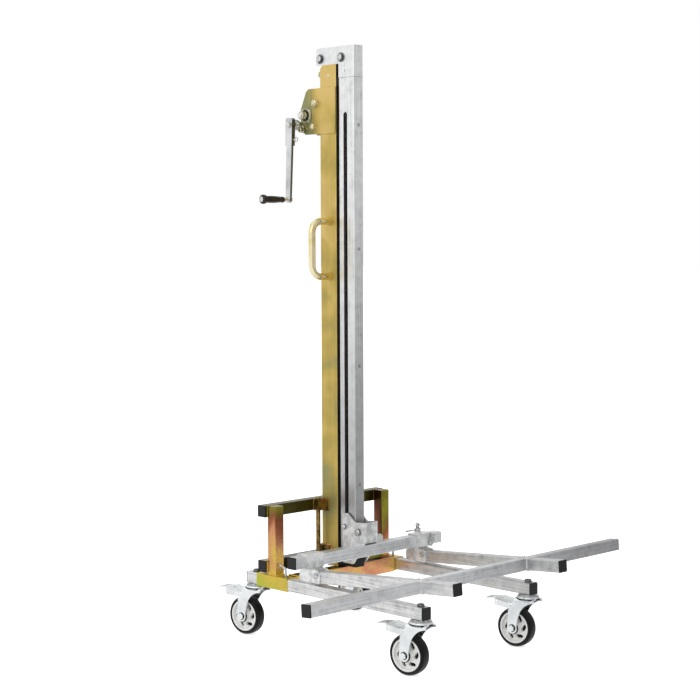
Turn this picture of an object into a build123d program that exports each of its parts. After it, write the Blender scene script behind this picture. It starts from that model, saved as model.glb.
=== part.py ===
from build123d import *
import math
import os

# Portable folding stacker, in millimetres.
# +Z is up, the forks point to -Y, +X is the operator's left. Z = 0 is the floor.

# Square tube stock
TUBE = 30.0
WALL = 2.0
CORNER = 2.5
CAP = 3.0
PLUG = 9.0

# Base frame
LEG_X = 196.5
LEG_FRONT = -305.0
LEG_REAR = 317.0
LEG_LOW = 138.0
SLEEVE = 34.4
SLEEVE_FRONT = 162.0
SLEEVE_REAR = 277.0
UPRIGHT_X = 193.0
UPRIGHT_FRONT = 210.0
CROSS_FRONT = 240.0
CROSS_HALF = 212.0
CROSS_LOW_Z = 175.0
CROSS_HIGH_Z = 317.5
RAIL_LOW = 133.0
RAIL_TOP = 173.0
LOCK_Y = 184.0

# Fixed post
POST_HALF = 20.0
POST_FRONT = 175.4
POST_REAR = 235.4
POST_WALL = 2.5
POST_LOW = 173.0
POST_TOP = 1478.0
POST_SLOT = 16.0
BRACKET = 8.0
LUG = 18.0
PIN_R = 6.0
SHEAVE_Y = 205.0
SHEAVE_Z = 1449.0
SHEAVE_R = 20.0

# Sliding mast
MAST_HALF = 16.5
MAST_FRONT = 112.4
MAST_REAR = 168.8
MAST_WALL = 2.5
MAST_LOW = 178.0
MAST_TOP = 1442.0
MAST_REAR_SLOT = 14.0
SLOT_Y = 144.55
SLOT_WIDTH = 13.5
SLOT_LOW = 190.0
SLOT_TOP = 1354.0
HEAD_TOP = 1522.8
HEAD_REAR = 252.0
HEAD_STEP = 1478.4
PULLEY_R = 15.0
PULLEY_REAR = (236.4, 1495.0)
PULLEY_FRONT = (158.8, 1494.0)
RUN = 0.3

# Winch: drum axis, crank axis behind and below it, one spur gear pair between them
WINCH_Y = 285.0
WINCH_Z = 1352.0
PLATE = 3.0
DRUM_R = 21.0
FLANGE_R = 27.0
SHAFT_R = 8.0
GEAR_MODULE = 1.55
GEAR_TEETH = 32
PINION_TEETH = 14
CRANK_Y = 311.0
CENTRES = GEAR_MODULE * (GEAR_TEETH + PINION_TEETH) / 2
CRANK_Z = WINCH_Z - math.sqrt(CENTRES ** 2 - (CRANK_Y - WINCH_Y) ** 2)
CRANK_SHAFT_R = 5.0
RATCHET_R = 14.5
PAWL_Y = 290.0
PAWL_Z = 1314.0
TIES = ((247.6, 1382.0, 17.0), (255.3, 1322.0, 14.0))
CRANK_OUT = -61.0
CRANK_SLEEVE = (25.0, 12.0)
CRANK_R = 195.0
CRANK_LEAN = 2.4
CRANK_TOP = 18.0
CRANK_SLEEVE_LOW = 54.0
GRIP_IN = -74.0
GRIP_OUT = -148.0

# Carry handle
HANDLE_Y = 201.5
HANDLE_LOW = 932.0
HANDLE_HIGH = 1075.0
HANDLE_OUT = -82.0
HANDLE_R = 9.0

# Carriage and forks
BAR_FRONT = 71.4
BAR_LOW = 212.0
BAR_HALF = 263.0
SIDE_IN = 20.5
SIDE = 4.0
AXLE_HIGH_Z = 282.6
AXLE_LOW_Z = 205.0
COLLAR_X = 200.0
COLLAR_WIDTH = 58.0
COLLAR_WALL = 3.0
FORK_X = 193.0
FORK_TILT = 4.5
PIVOT_Y = 54.0
PIVOT_Z = 194.0
FORK_DROP = 6.0
FORK_BAR = 339.2
FORK_BAR_HALF = 558.0
FORK_TIP = 455.2
FORK_HEEL = 12.0
CLEVIS = 4.0
CLAMP_X = 190.0
WING_X = 221.0

# Casters
CASTER_YS = (-289.0, 297.0)
CASTER_TURN = 9.0
TRAIL = 33.0
WHEEL_R = 50.0
TYRE_HALF = 16.0
RIM_R = 40.0
HUB_R = 15.0
HUB_HALF = 20.0
AXLE_R = 5.0
YOKE_HALF = 24.0
YOKE_SHEET = 3.0
YOKE_TOP = 133.6
CROWN_R = 28.0
PEDAL_Y = 18.0
PEDAL_Z = 114.0
PEDAL_REACH = 116.0
FIT = 0.05

# Middle of the whole object's box along Y, which the frame's origin takes
FRAME_Y = 4.86


def box(x0, x1, y0, y1, z0, z1):
    middle = Pos((x0 + x1) / 2, (y0 + y1) / 2, (z0 + z1) / 2)
    return middle * Box(x1 - x0, y1 - y0, z1 - z0)


def rod_x(x0, x1, y, z, r):
    return Pos((x0 + x1) / 2, y, z) * Rot(0, 90, 0) * Cylinder(r, x1 - x0)


def rod_y(x, y0, y1, z, r):
    return Pos(x, (y0 + y1) / 2, z) * Rot(90, 0, 0) * Cylinder(r, y1 - y0)


def rod_z(x, y, z0, z1, r):
    return Pos(x, y, (z0 + z1) / 2) * Cylinder(r, z1 - z0)


def hex_x(x0, x1, y, z, across):
    flat = RegularPolygon(across / 2, 6, major_radius=False)
    return Pos(x0, y, z) * Rot(0, 90, 0) * extrude(flat, x1 - x0)


def hex_z(x, y, z0, z1, across):
    flat = RegularPolygon(across / 2, 6, major_radius=False)
    return Pos(x, y, z0) * extrude(flat, z1 - z0)


def side_plate(points, x0, x1):
    """A flat plate square to X with the outline given as (y, z) points."""
    outline = make_face(Polyline(*[(y, z) for y, z in points], close=True))
    return Plane.YZ.offset(x0) * extrude(outline, x1 - x0)


def mirrored(shape):
    return mirror(shape, about=Plane.YZ)


def tube_y(x, z, y0, y1):
    half = TUBE / 2
    inner = half - WALL
    shell = box(x - half, x + half, y0, y1, z - half, z + half)
    shell = fillet(shell.edges().filter_by(Axis.Y), CORNER)
    return shell - box(x - inner, x + inner, y0, y1, z - inner, z + inner)


def tube_x(y, z, x0, x1):
    half = TUBE / 2
    inner = half - WALL
    shell = box(x0, x1, y - half, y + half, z - half, z + half)
    shell = fillet(shell.edges().filter_by(Axis.X), CORNER)
    return shell - box(x0, x1, y - inner, y + inner, z - inner, z + inner)


def end_cap():
    """A push-in square cap: its flange stands on the tube's end at Z = 0, the plug points down."""
    inner = TUBE - 2 * WALL - 0.4
    flange = extrude(RectangleRounded(TUBE, TUBE, 2.5), CAP)
    flange = chamfer(flange.faces().sort_by(Axis.Z)[-1].edges(), 0.8)
    return flange + Pos(0, 0, -PLUG / 2) * Box(inner, inner, PLUG)


def cap_y(x, y, z, front):
    turn = 90 if front else -90
    return Pos(x, y, z) * Rot(turn, 0, 0) * end_cap()


def cap_x(x, y, z):
    turn = 90 if x > 0 else -90
    return Pos(x, y, z) * Rot(0, turn, 0) * end_cap()


def bolt_x(x0, x1, y, z, r, across):
    """A hex bolt along X, head at x0 and nut at x1, both outside that span."""
    sign = 1 if x1 > x0 else -1
    head = hex_x(x0 - sign * r * 1.3, x0, y, z, across) if sign > 0 else hex_x(x0, x0 + r * 1.3, y, z, across)
    nut = hex_x(x1, x1 + r * 1.5, y, z, across) if sign > 0 else hex_x(x1 - r * 1.5, x1, y, z, across)
    return rod_x(min(x0, x1), max(x0, x1), y, z, r) + head + nut


def base_frame():
    leg_z = LEG_LOW + TUBE / 2
    half = SLEEVE / 2
    inner = half - WALL
    sleeves, legs, uprights, caps = [], [], [], []
    for side in (-1, 1):
        x = side * LEG_X
        sleeve = box(x - half, x + half, SLEEVE_FRONT, SLEEVE_REAR, leg_z - half, leg_z + half)
        sleeve = fillet(sleeve.edges().filter_by(Axis.Y), CORNER)
        sleeve -= box(x - inner, x + inner, SLEEVE_FRONT, SLEEVE_REAR, leg_z - inner, leg_z + inner)
        sleeve -= rod_z(x, LOCK_Y, leg_z, leg_z + half, 3 + FIT)
        sleeves.append(sleeve)
        leg = tube_y(x, leg_z, LEG_FRONT, LEG_REAR)
        for y in CASTER_YS:
            leg -= rod_z(x, y, LEG_LOW, LEG_LOW + TUBE, 5 + FIT)
        leg -= rod_z(x, LOCK_Y, leg_z, LEG_LOW + TUBE, 3 + FIT)
        legs.append(leg)
        caps.append(cap_y(x, LEG_FRONT, leg_z, True))
        caps.append(cap_y(x, LEG_REAR, leg_z, False))
        post_x = side * UPRIGHT_X
        reach = TUBE / 2
        low = leg_z + half
        high = CROSS_HIGH_Z + TUBE
        back = UPRIGHT_FRONT + TUBE
        post = box(post_x - reach, post_x + reach, UPRIGHT_FRONT, back, low, high)
        post = fillet(post.edges().filter_by(Axis.Z), CORNER)
        hollow = reach - WALL
        post -= box(post_x - hollow, post_x + hollow, UPRIGHT_FRONT + WALL, back - WALL, low, high - WALL)
        uprights.append(post)
    cross = []
    for low in (CROSS_LOW_Z, CROSS_HIGH_Z):
        z = low + TUBE / 2
        y = CROSS_FRONT + TUBE / 2
        cross.append(tube_x(y, z, -CROSS_HALF, CROSS_HALF))
        caps.append(cap_x(CROSS_HALF, y, z))
        caps.append(cap_x(-CROSS_HALF, y, z))
    reach = LEG_X - half
    back = SLEEVE_FRONT + TUBE
    rail = box(-reach, reach, SLEEVE_FRONT, back, RAIL_LOW, RAIL_TOP)
    rail = fillet(rail.edges().filter_by(Axis.X), CORNER)
    rail -= box(-reach, reach, SLEEVE_FRONT + WALL, back - WALL, RAIL_LOW + WALL, RAIL_TOP - WALL)
    cross.append(rail)
    return sleeves, legs, uprights, cross, caps


def post_brackets():
    """Welded brackets that tie the post to the cross tubes, each with a lug for the upright pin."""
    brackets, pins = [], []
    pin_x = POST_HALF + BRACKET + LUG / 2 + 0.5
    pin_y = CROSS_FRONT - LUG / 2
    for low, high, front in ((CROSS_LOW_Z, 226.0, 201.0), (CROSS_HIGH_Z, 347.5, 210.0)):
        bracket = box(POST_HALF, POST_HALF + BRACKET, front, CROSS_FRONT, low, high)
        lug_top = low + TUBE
        lug_end = POST_HALF + BRACKET + LUG
        bracket += box(POST_HALF + BRACKET, lug_end, CROSS_FRONT - LUG, CROSS_FRONT, low, lug_top)
        bracket -= rod_z(pin_x, pin_y, low, lug_top, PIN_R + FIT)
        brackets += [bracket, mirrored(bracket)]
    top = CROSS_HIGH_Z + TUBE
    pin = rod_z(pin_x, pin_y, CROSS_LOW_Z - 6, top, PIN_R)
    knob = rod_z(pin_x, pin_y, top, top + 5, PIN_R + 2)
    pin += fillet(knob.faces().sort_by(Axis.Z)[-1].edges(), 2.5)
    pins = [pin, mirrored(pin)]
    return brackets, pins


def leg_locks():
    """Pins with a bent handle that hold each leg in its sleeve."""
    locks = []
    top = LEG_LOW + TUBE + 22
    for side in (-1, 1):
        x = side * LEG_X
        bend = [(x, LOCK_Y, LEG_LOW + 12), (x, LOCK_Y, top), (x, LOCK_Y + 24, top + 9)]
        path = FilletPolyline(*bend, radius=8)
        locks.append(sweep(Plane(path @ 0, z_dir=path % 0) * Circle(3), path))
    return locks


def fixed_post():
    reach = POST_HALF
    inner = reach - POST_WALL
    post = box(-reach, reach, POST_FRONT, POST_REAR, POST_LOW, POST_TOP)
    corner = post.edges().filter_by(Axis.X).group_by(Axis.Z)[-1].sort_by(Axis.Y)[-1]
    post = chamfer(corner, 10)
    post = fillet(post.edges().filter_by(Axis.Z), 3)
    post -= box(-inner, inner, POST_FRONT + POST_WALL, POST_REAR - POST_WALL, POST_LOW, POST_TOP)
    slot = POST_SLOT / 2
    post -= box(-slot, slot, POST_FRONT, POST_FRONT + POST_WALL, POST_LOW, POST_TOP)
    post -= box(-8, 8, POST_REAR - POST_WALL, POST_REAR, WINCH_Z - 10, WINCH_Z + 55)
    post -= rod_x(-reach, reach, SHEAVE_Y, SHEAVE_Z, 5 + FIT)
    return post


def carry_handle():
    low = (-POST_HALF, HANDLE_Y, HANDLE_LOW)
    low_out = (HANDLE_OUT, HANDLE_Y, HANDLE_LOW)
    high_out = (HANDLE_OUT, HANDLE_Y, HANDLE_HIGH)
    high = (-POST_HALF, HANDLE_Y, HANDLE_HIGH)
    path = FilletPolyline(low, low_out, high_out, high, radius=30)
    return sweep(Plane(path @ 0, z_dir=path % 0) * Circle(HANDLE_R), path)


def winch_plate_points():
    return [
        (POST_FRONT, 1302), (POST_FRONT, 1420), (276, 1420), (285, 1413),
        (306, 1366), (305, 1338), (296, 1310), (288, 1302),
    ]


def winch_frame():
    near = side_plate(winch_plate_points(), -POST_HALF - PLATE, -POST_HALF)
    near -= rod_x(-POST_HALF - PLATE, -POST_HALF, WINCH_Y, WINCH_Z, SHAFT_R + FIT)
    for y, z, across in TIES:
        near -= rod_x(-POST_HALF - PLATE, -POST_HALF, y, z, 5 + FIT)
    far = mirrored(near)
    near -= rod_x(-POST_HALF - PLATE, -POST_HALF, PAWL_Y, PAWL_Z, 4 + FIT)
    far -= rod_x(POST_HALF, POST_HALF + PLATE, PAWL_Y, PAWL_Z, 4 + FIT)
    return [near, far]


def winch_bearings():
    """Flange rings for the drum's shaft, and the two ears behind the plates that carry the crank's shaft."""
    out = POST_HALF + PLATE
    ring = rod_x(-out - 3.5, -out, WINCH_Y, WINCH_Z, 21)
    ring = chamfer(ring.faces().sort_by(Axis.X)[0].edges(), 1.2)
    ring -= rod_x(-out - 3.5, -out - 1.5, WINCH_Y, WINCH_Z, 15)
    ring -= rod_x(-out - 3.5, -out, WINCH_Y, WINCH_Z, SHAFT_R + FIT)
    cap = rod_x(out, out + 3, WINCH_Y, WINCH_Z, 16) - rod_x(out, out + 3, WINCH_Y, WINCH_Z, SHAFT_R + FIT)
    foot = make_hull((Pos(CRANK_Y, CRANK_Z) * Circle(11)).edges() + (Pos(PAWL_Y, PAWL_Z) * Circle(8)).edges())
    ear = Plane.YZ.offset(-out - 5) * extrude(foot, 5)
    ear -= rod_x(-out - 5, -out, CRANK_Y, CRANK_Z, CRANK_SHAFT_R + FIT)
    ear -= rod_x(-out - 5, -out, PAWL_Y, PAWL_Z, 4 + FIT)
    return [ring, cap, ear, mirrored(ear)]


def post_bolts():
    """Tie bolts with their spacers, the pawl's pivot bolt and the axle of the post's sheave."""
    out = POST_HALF + PLATE
    bolts = []
    for y, z, across in TIES:
        bolts.append(bolt_x(-out - 1.5, out, y, z, 5, across) + rod_x(-out - 1.5, -out, y, z, across * 0.62))
        bolts.append(rod_x(-POST_HALF, POST_HALF, y, z, 8) - rod_x(-POST_HALF, POST_HALF, y, z, 5 + FIT))
    pivot = rod_x(-out - 14, out + 5, PAWL_Y, PAWL_Z, 4)
    pivot += hex_x(-out - 19, -out - 14, PAWL_Y, PAWL_Z, 12)
    pivot += hex_x(out + 5, out + 10, PAWL_Y, PAWL_Z, 12)
    bolts.append(pivot)
    bolts.append(rod_x(-POST_HALF, POST_HALF, SHEAVE_Y, SHEAVE_Z, 5))
    return bolts


def rope_anchor():
    """Eye bolt in the back of the post that takes the end of the lifting rope, with its lock nut."""
    y = POST_REAR
    nut = Pos(-4, y, 1457) * Rot(-90, 0, 0) * extrude(RegularPolygon(6.5, 6, major_radius=False), 5)
    shank = rod_y(-4, y, y + 9, 1457, 4)
    eye = Pos(-4, y + 14, 1457) * Rot(0, 90, 0) * Torus(5.5, 2.3)
    return [nut + shank + eye]


def grooved_wheel(y, z, r, width, bore):
    """A rope pulley: rim with a round groove, web and hub."""
    half = width / 2
    points = [
        (bore, -half), (r, -half), (r, -half + 1.2), (r - 4, -1.6),
        (r - 4, 1.6), (r, half - 1.2), (r, half), (bore, half),
    ]
    wheel = revolve(make_face(Polyline(*points, close=True)), Axis.Y)
    return Pos(0, y, z) * Rot(0, 0, -90) * wheel


def sliding_mast():
    reach = MAST_HALF
    inner = reach - MAST_WALL
    mast = box(-reach, reach, MAST_FRONT, MAST_REAR, MAST_LOW, MAST_TOP)
    mast = fillet(mast.edges().filter_by(Axis.Z), 3)
    mast -= box(-inner, inner, MAST_FRONT + MAST_WALL, MAST_REAR - MAST_WALL, MAST_LOW, MAST_TOP)
    gap = MAST_REAR_SLOT / 2
    mast -= box(-gap, gap, MAST_REAR - MAST_WALL, MAST_REAR, MAST_LOW, MAST_TOP)
    half = SLOT_WIDTH / 2
    mast -= box(-reach, reach, SLOT_Y - half, SLOT_Y + half, SLOT_LOW + half, SLOT_TOP - half)
    for z in (SLOT_LOW + half, SLOT_TOP - half):
        mast -= rod_x(-reach, reach, SLOT_Y, z, half)
    return mast


def mast_head():
    """The head: a folded channel with a step over the post and two tongues inside the mast."""
    reach = MAST_HALF
    sheet = 3.0
    points = [
        (MAST_FRONT, MAST_TOP), (MAST_FRONT, HEAD_TOP), (HEAD_REAR - 6, HEAD_TOP), (HEAD_REAR, HEAD_TOP - 6),
        (HEAD_REAR, HEAD_STEP), (MAST_REAR, HEAD_STEP), (MAST_REAR, MAST_TOP),
    ]
    head = side_plate(points, -reach, reach)
    front = head.edges().filter_by(Axis.Z).group_by(Axis.Y)[0]
    head = fillet(front, 3)
    head -= box(-reach + sheet, reach - sheet, MAST_FRONT + sheet, HEAD_REAR, MAST_TOP, HEAD_TOP)
    for side in (-1, 1):
        a = side * (reach - MAST_WALL - 0.1)
        b = side * (reach - MAST_WALL - 3.1)
        head += box(min(a, b), max(a, b), MAST_FRONT + 6, SLOT_Y + 6, MAST_TOP - 40, MAST_TOP + 22)
    for y, z in (PULLEY_REAR, PULLEY_FRONT):
        head -= rod_x(-reach, reach, y, z, 4 + FIT)
    return head


def head_bolts():
    bolts = []
    for y, z in (PULLEY_REAR, PULLEY_FRONT):
        bolt = bolt_x(-MAST_HALF - 1.5, MAST_HALF + 1.5, y, z, 4, 16)
        for x in (-MAST_HALF - 1.5, MAST_HALF):
            bolt += rod_x(x, x + 1.5, y, z, 12.5)
        for x in (-13.3, 6.6):
            bolt += rod_x(x, x + 6.7, y, z, 6)
        bolts.append(bolt)
    return bolts


def tee_block(z0, z1, wide_y, neck_y, flange_y, head_half, neck_half, flange_half):
    """A nylon tee: its head runs behind one channel's lips, its flange fills the gap between the posts."""
    block = box(-head_half, head_half, wide_y[0], wide_y[1], z0, z1)
    block += box(-neck_half, neck_half, neck_y[0], neck_y[1], z0, z1)
    block += box(-flange_half, flange_half, flange_y[0], flange_y[1], z0, z1)
    return block


def guides():
    lip = MAST_REAR - MAST_WALL
    gap = MAST_REAR_SLOT / 2
    upper = tee_block(1424, MAST_TOP, (lip - 8, lip - RUN), (lip - RUN, MAST_REAR + RUN),
                      (MAST_REAR + RUN, POST_FRONT), MAST_HALF - MAST_WALL - RUN, gap - RUN, MAST_HALF)
    upper += box(-POST_SLOT / 2, POST_SLOT / 2, POST_FRONT, POST_FRONT + POST_WALL, 1424, MAST_TOP)
    behind = POST_FRONT + POST_WALL
    slot = POST_SLOT / 2
    lower = tee_block(184, 226, (behind + RUN, behind + 8), (POST_FRONT - RUN, behind + RUN),
                      (MAST_REAR, POST_FRONT - RUN), POST_HALF - POST_WALL - RUN, slot - RUN, MAST_HALF)
    lower += box(-gap, gap, lip, MAST_REAR, 184, 226)
    lower += box(-MAST_HALF + MAST_WALL, MAST_HALF - MAST_WALL, lip - 5, lip, 184, 202)
    return upper, lower


def spur_wheel(teeth, x0, width, y, z, bore, turn):
    """A spur gear with straight-flanked teeth; the first tooth stands at the angle turn from +Y to +Z."""
    pitch = 2 * math.pi / teeth
    middle = GEAR_MODULE * teeth / 2
    outline = []
    for i in range(teeth):
        for rise, side in ((-1.9, -0.30), (1.2, -0.11), (1.2, 0.11), (-1.9, 0.30)):
            angle = turn + (i + side) * pitch
            outline.append(((middle + rise) * math.cos(angle), (middle + rise) * math.sin(angle)))
    flat = make_face(Polyline(*outline, close=True)) - Circle(bore)
    return Plane((x0, y, z), x_dir=(0, 1, 0), z_dir=(1, 0, 0)) * extrude(flat, width)


def drum():
    """Rope drum with its shaft and hub, and the gear beside it."""
    half = POST_HALF - RUN
    body = rod_x(-half + 3, 10, WINCH_Y, WINCH_Z, DRUM_R)
    body += rod_x(-half, -half + 3, WINCH_Y, WINCH_Z, FLANGE_R)
    body += rod_x(10, half, WINCH_Y, WINCH_Z, 12)
    body += rod_x(-POST_HALF - PLATE - 24, POST_HALF + PLATE + 8, WINCH_Y, WINCH_Z, SHAFT_R)
    hub = rod_x(-POST_HALF - PLATE - 21, -POST_HALF - PLATE - 3.8, WINCH_Y, WINCH_Z, 10.5)
    body += chamfer(hub.faces().sort_by(Axis.X)[0].edges(), 1.0)
    body += rod_x(POST_HALF + PLATE + 3.3, POST_HALF + PLATE + 8, WINCH_Y, WINCH_Z, 12)
    towards = math.atan2(CRANK_Z - WINCH_Z, CRANK_Y - WINCH_Y)
    gear = spur_wheel(GEAR_TEETH, 10, 7, WINCH_Y, WINCH_Z, 12, towards + math.pi / GEAR_TEETH)
    return [body, gear]


def crank_shaft():
    shaft = rod_x(CRANK_OUT, POST_HALF + PLATE + 9, CRANK_Y, CRANK_Z, CRANK_SHAFT_R)
    return shaft + rod_x(POST_HALF + PLATE + 5.3, POST_HALF + PLATE + 9, CRANK_Y, CRANK_Z, 8)


def winch_pinion():
    towards = math.atan2(WINCH_Z - CRANK_Z, WINCH_Y - CRANK_Y)
    return spur_wheel(PINION_TEETH, 8, 11, CRANK_Y, CRANK_Z, CRANK_SHAFT_R, towards)


def ratchet_wheel():
    """Ratchet wheel between two washers, with the hub that carries the crank."""
    teeth = 14
    root = RATCHET_R - 2.8
    outline = []
    for i in range(teeth):
        a = 2 * math.pi * i / teeth
        b = 2 * math.pi * (i + 0.96) / teeth
        outline.append((root * math.cos(a), root * math.sin(a)))
        outline.append((RATCHET_R * math.cos(b), RATCHET_R * math.sin(b)))
    near = -POST_HALF - PLATE - 5.3
    flat = make_face(Polyline(*outline, close=True))
    place = Plane((near - 8, CRANK_Y, CRANK_Z), x_dir=(0, 1, 0), z_dir=(1, 0, 0))
    wheel = place * extrude(flat, 6)
    wheel += rod_x(near - 2, near, CRANK_Y, CRANK_Z, 10)
    wheel += rod_x(near - 10, near - 8, CRANK_Y, CRANK_Z, 11)
    wheel += rod_x(CRANK_OUT + CRANK_SLEEVE[1], near - 10, CRANK_Y, CRANK_Z, 8.5)
    return wheel - rod_x(CRANK_OUT, near, CRANK_Y, CRANK_Z, CRANK_SHAFT_R)


def pawl():
    """A short pawl that drops on the ratchet's teeth from in front and below."""
    x0 = -POST_HALF - PLATE - 13
    dy = CRANK_Y - PAWL_Y
    dz = CRANK_Z - PAWL_Z
    reach = math.hypot(dy, dz) - RATCHET_R - 0.6
    lean = math.degrees(math.atan2(dz, dy))
    arm = make_face(Polyline((-3, -5), (reach - 4, -4.5), (reach, -1.5), (reach - 1, 3), (-3, 5), close=True))
    arm += Circle(7)
    arm -= Circle(4 + FIT)
    body = extrude(arm, 5.5)
    return Plane((x0, PAWL_Y, PAWL_Z), x_dir=(0, 1, 0), z_dir=(1, 0, 0)) * Rot(0, 0, lean) * body


def leaned(shape):
    """Turns a piece of the crank about its shaft to where the crank hangs at rest."""
    return Pos(0, CRANK_Y, CRANK_Z) * Rot(CRANK_LEAN, 0, 0) * Pos(0, -CRANK_Y, -CRANK_Z) * shape


def crank_sleeve():
    depth, thick = CRANK_SLEEVE
    y0 = CRANK_Y - depth / 2
    y1 = CRANK_Y + depth / 2
    low = CRANK_Z - CRANK_SLEEVE_LOW
    sleeve = box(CRANK_OUT, CRANK_OUT + thick, y0, y1, low, CRANK_Z + CRANK_TOP)
    sleeve = fillet(sleeve.edges().filter_by(Axis.X).group_by(Axis.Z)[-1], 6)
    sleeve -= box(CRANK_OUT + 2.5, CRANK_OUT + thick - 2.5, y0 + 2.5, y1 - 2.5, low, CRANK_Z - 10)
    sleeve -= rod_x(CRANK_OUT, CRANK_OUT + thick, CRANK_Y, CRANK_Z, CRANK_SHAFT_R)
    return sleeve - rod_y(CRANK_OUT + thick / 2, y0, y0 + 2.5, low + 16, 3 + FIT)


def crank_arm():
    """Flat arm that tapers towards the grip and carries it in a bored eye."""
    thick = CRANK_SLEEVE[1] - 5
    x0 = CRANK_OUT + 2.5
    half = CRANK_SLEEVE[0] / 2 - 2.5
    grip_z = CRANK_Z - CRANK_R
    low = CRANK_Z - CRANK_SLEEVE_LOW
    points = [
        (CRANK_Y - half, low + 40), (CRANK_Y + half, low + 40), (CRANK_Y + half, low - 20),
        (CRANK_Y + half - 1.5, grip_z), (CRANK_Y - half + 1.5, grip_z), (CRANK_Y - half, low - 20),
    ]
    arm = side_plate(points, x0, x0 + thick)
    arm += rod_x(x0, x0 + thick, CRANK_Y, grip_z, half - 1.5)
    return arm - rod_x(x0, x0 + thick, CRANK_Y, grip_z, 4 + FIT)


def crank_screws():
    """Lock screw with a ring, the grip's bolt with its collar and the shaft's end nut."""
    depth, thick = CRANK_SLEEVE
    x = CRANK_OUT + thick / 2
    y = CRANK_Y - depth / 2
    z = CRANK_Z - CRANK_SLEEVE_LOW + 16
    lock = rod_y(x, y - 6, y + 2.4, z, 3)
    lock += Pos(x, y - 11, z) * Rot(0, 90, 0) * Torus(5.5, 1.6)
    grip_z = CRANK_Z - CRANK_R
    outside = CRANK_OUT + 2.5
    inside = outside + thick - 5
    bolt = rod_x(GRIP_OUT, inside, CRANK_Y, grip_z, 4)
    bolt += rod_x(GRIP_IN + RUN, outside, CRANK_Y, grip_z, 6.5)
    bolt += rod_x(GRIP_OUT - 3.3, GRIP_OUT - RUN, CRANK_Y, grip_z, 7)
    bolt += rod_x(GRIP_OUT - RUN, GRIP_OUT, CRANK_Y, grip_z, 4)
    bolt += hex_x(inside, inside + 5, CRANK_Y, grip_z, 13)
    nut = hex_x(CRANK_OUT - 5, CRANK_OUT, CRANK_Y, CRANK_Z, 15)
    return [lock, bolt, nut]


def crank_grip():
    """Turned grip: slim at the arm, swelling towards a flanged outer end."""
    length = GRIP_IN - GRIP_OUT
    bore = 4 + FIT
    sketch = Polyline((bore, 0), (7, 0), (8.2, 4), (7.6, 12))
    swell = ThreePointArc((7.6, 12), (9.4, length * 0.5), (8.6, length - 12))
    end = [
        (8.6, length - 12), (12, length - 8), (12.5, length - 3),
        (11.5, length), (bore, length), (bore, 0),
    ]
    grip = revolve(make_face([sketch, swell, Polyline(*end)]), Axis.Y)
    return Pos(GRIP_IN, CRANK_Y, CRANK_Z - CRANK_R) * Rot(0, 0, 90) * grip


def carriage_plates():
    """Side plates that straddle the mast, stand on the bar and carry the guide axles."""
    rear = BAR_FRONT + TUBE
    top = BAR_LOW + TUBE
    points = [
        (152, 316), (136, 319), (107, 297), (BAR_FRONT + 1, 300), (BAR_FRONT + 1, top), (rear, top),
        (rear, 205), (114, 188), (152, 188),
    ]
    plate = side_plate(points, SIDE_IN, SIDE_IN + SIDE)
    corners = plate.edges().filter_by(Axis.X)
    plate = fillet(corners.group_by(Axis.Z)[-1] + corners.group_by(Axis.Z)[0], 5)
    for z in (AXLE_HIGH_Z, AXLE_LOW_Z):
        plate -= rod_x(SIDE_IN, SIDE_IN + SIDE, SLOT_Y, z, 4 + FIT)
    plate -= rod_x(SIDE_IN, SIDE_IN + SIDE, 93, 274, 5 + FIT)
    out = SIDE_IN + SIDE
    edge = [(out, top), (out + 32, top), (out + 32, top + 14), (out + 24, top + 20), (out, top + 20)]
    gusset = make_face(Polyline(*edge, close=True))
    plate += Plane.XZ.offset(-88) * extrude(gusset, 4)
    front = box(-SIDE_IN, SIDE_IN, BAR_FRONT + 1, BAR_FRONT + 5, top + 4, top + 56)
    return [plate, mirrored(plate), front]


def carriage_bolts():
    out = SIDE_IN + SIDE
    bolts = [bolt_x(-out, out, SLOT_Y, z, 4, 13) for z in (AXLE_HIGH_Z, AXLE_LOW_Z)]
    front = bolt_x(-out, out, 93, 274, 5, 17)
    sleeve = rod_x(-SIDE_IN, SIDE_IN, 93, 274, 8) - rod_x(-SIDE_IN, SIDE_IN, 93, 274, 5 + FIT)
    return bolts + [front, sleeve]


def carriage_guides():
    """Nylon runners: a stepped bush on each axle, side pads and a pad on the mast's front."""
    runners = []
    inside = MAST_HALF - MAST_WALL - 0.5
    for z in (AXLE_HIGH_Z, AXLE_LOW_Z):
        bush = rod_x(-SIDE_IN, SIDE_IN, SLOT_Y, z, SLOT_WIDTH / 2 - RUN)
        bush += rod_x(-inside, inside, SLOT_Y, z, 11.5)
        runners.append(bush - rod_x(-SIDE_IN, SIDE_IN, SLOT_Y, z, 4 + FIT))
    for low in (196, 262):
        pad = box(MAST_HALF + RUN, SIDE_IN, 116, 134, low, low + 24)
        runners += [pad, mirrored(pad)]
    rear = BAR_FRONT + TUBE
    runners.append(box(-14, 14, rear, MAST_FRONT - RUN, BAR_LOW + 2, BAR_LOW + TUBE - 2))
    return runners


def carriage_bar():
    return tube_x(BAR_FRONT + TUBE / 2, BAR_LOW + TUBE / 2, -BAR_HALF, BAR_HALF)


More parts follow.
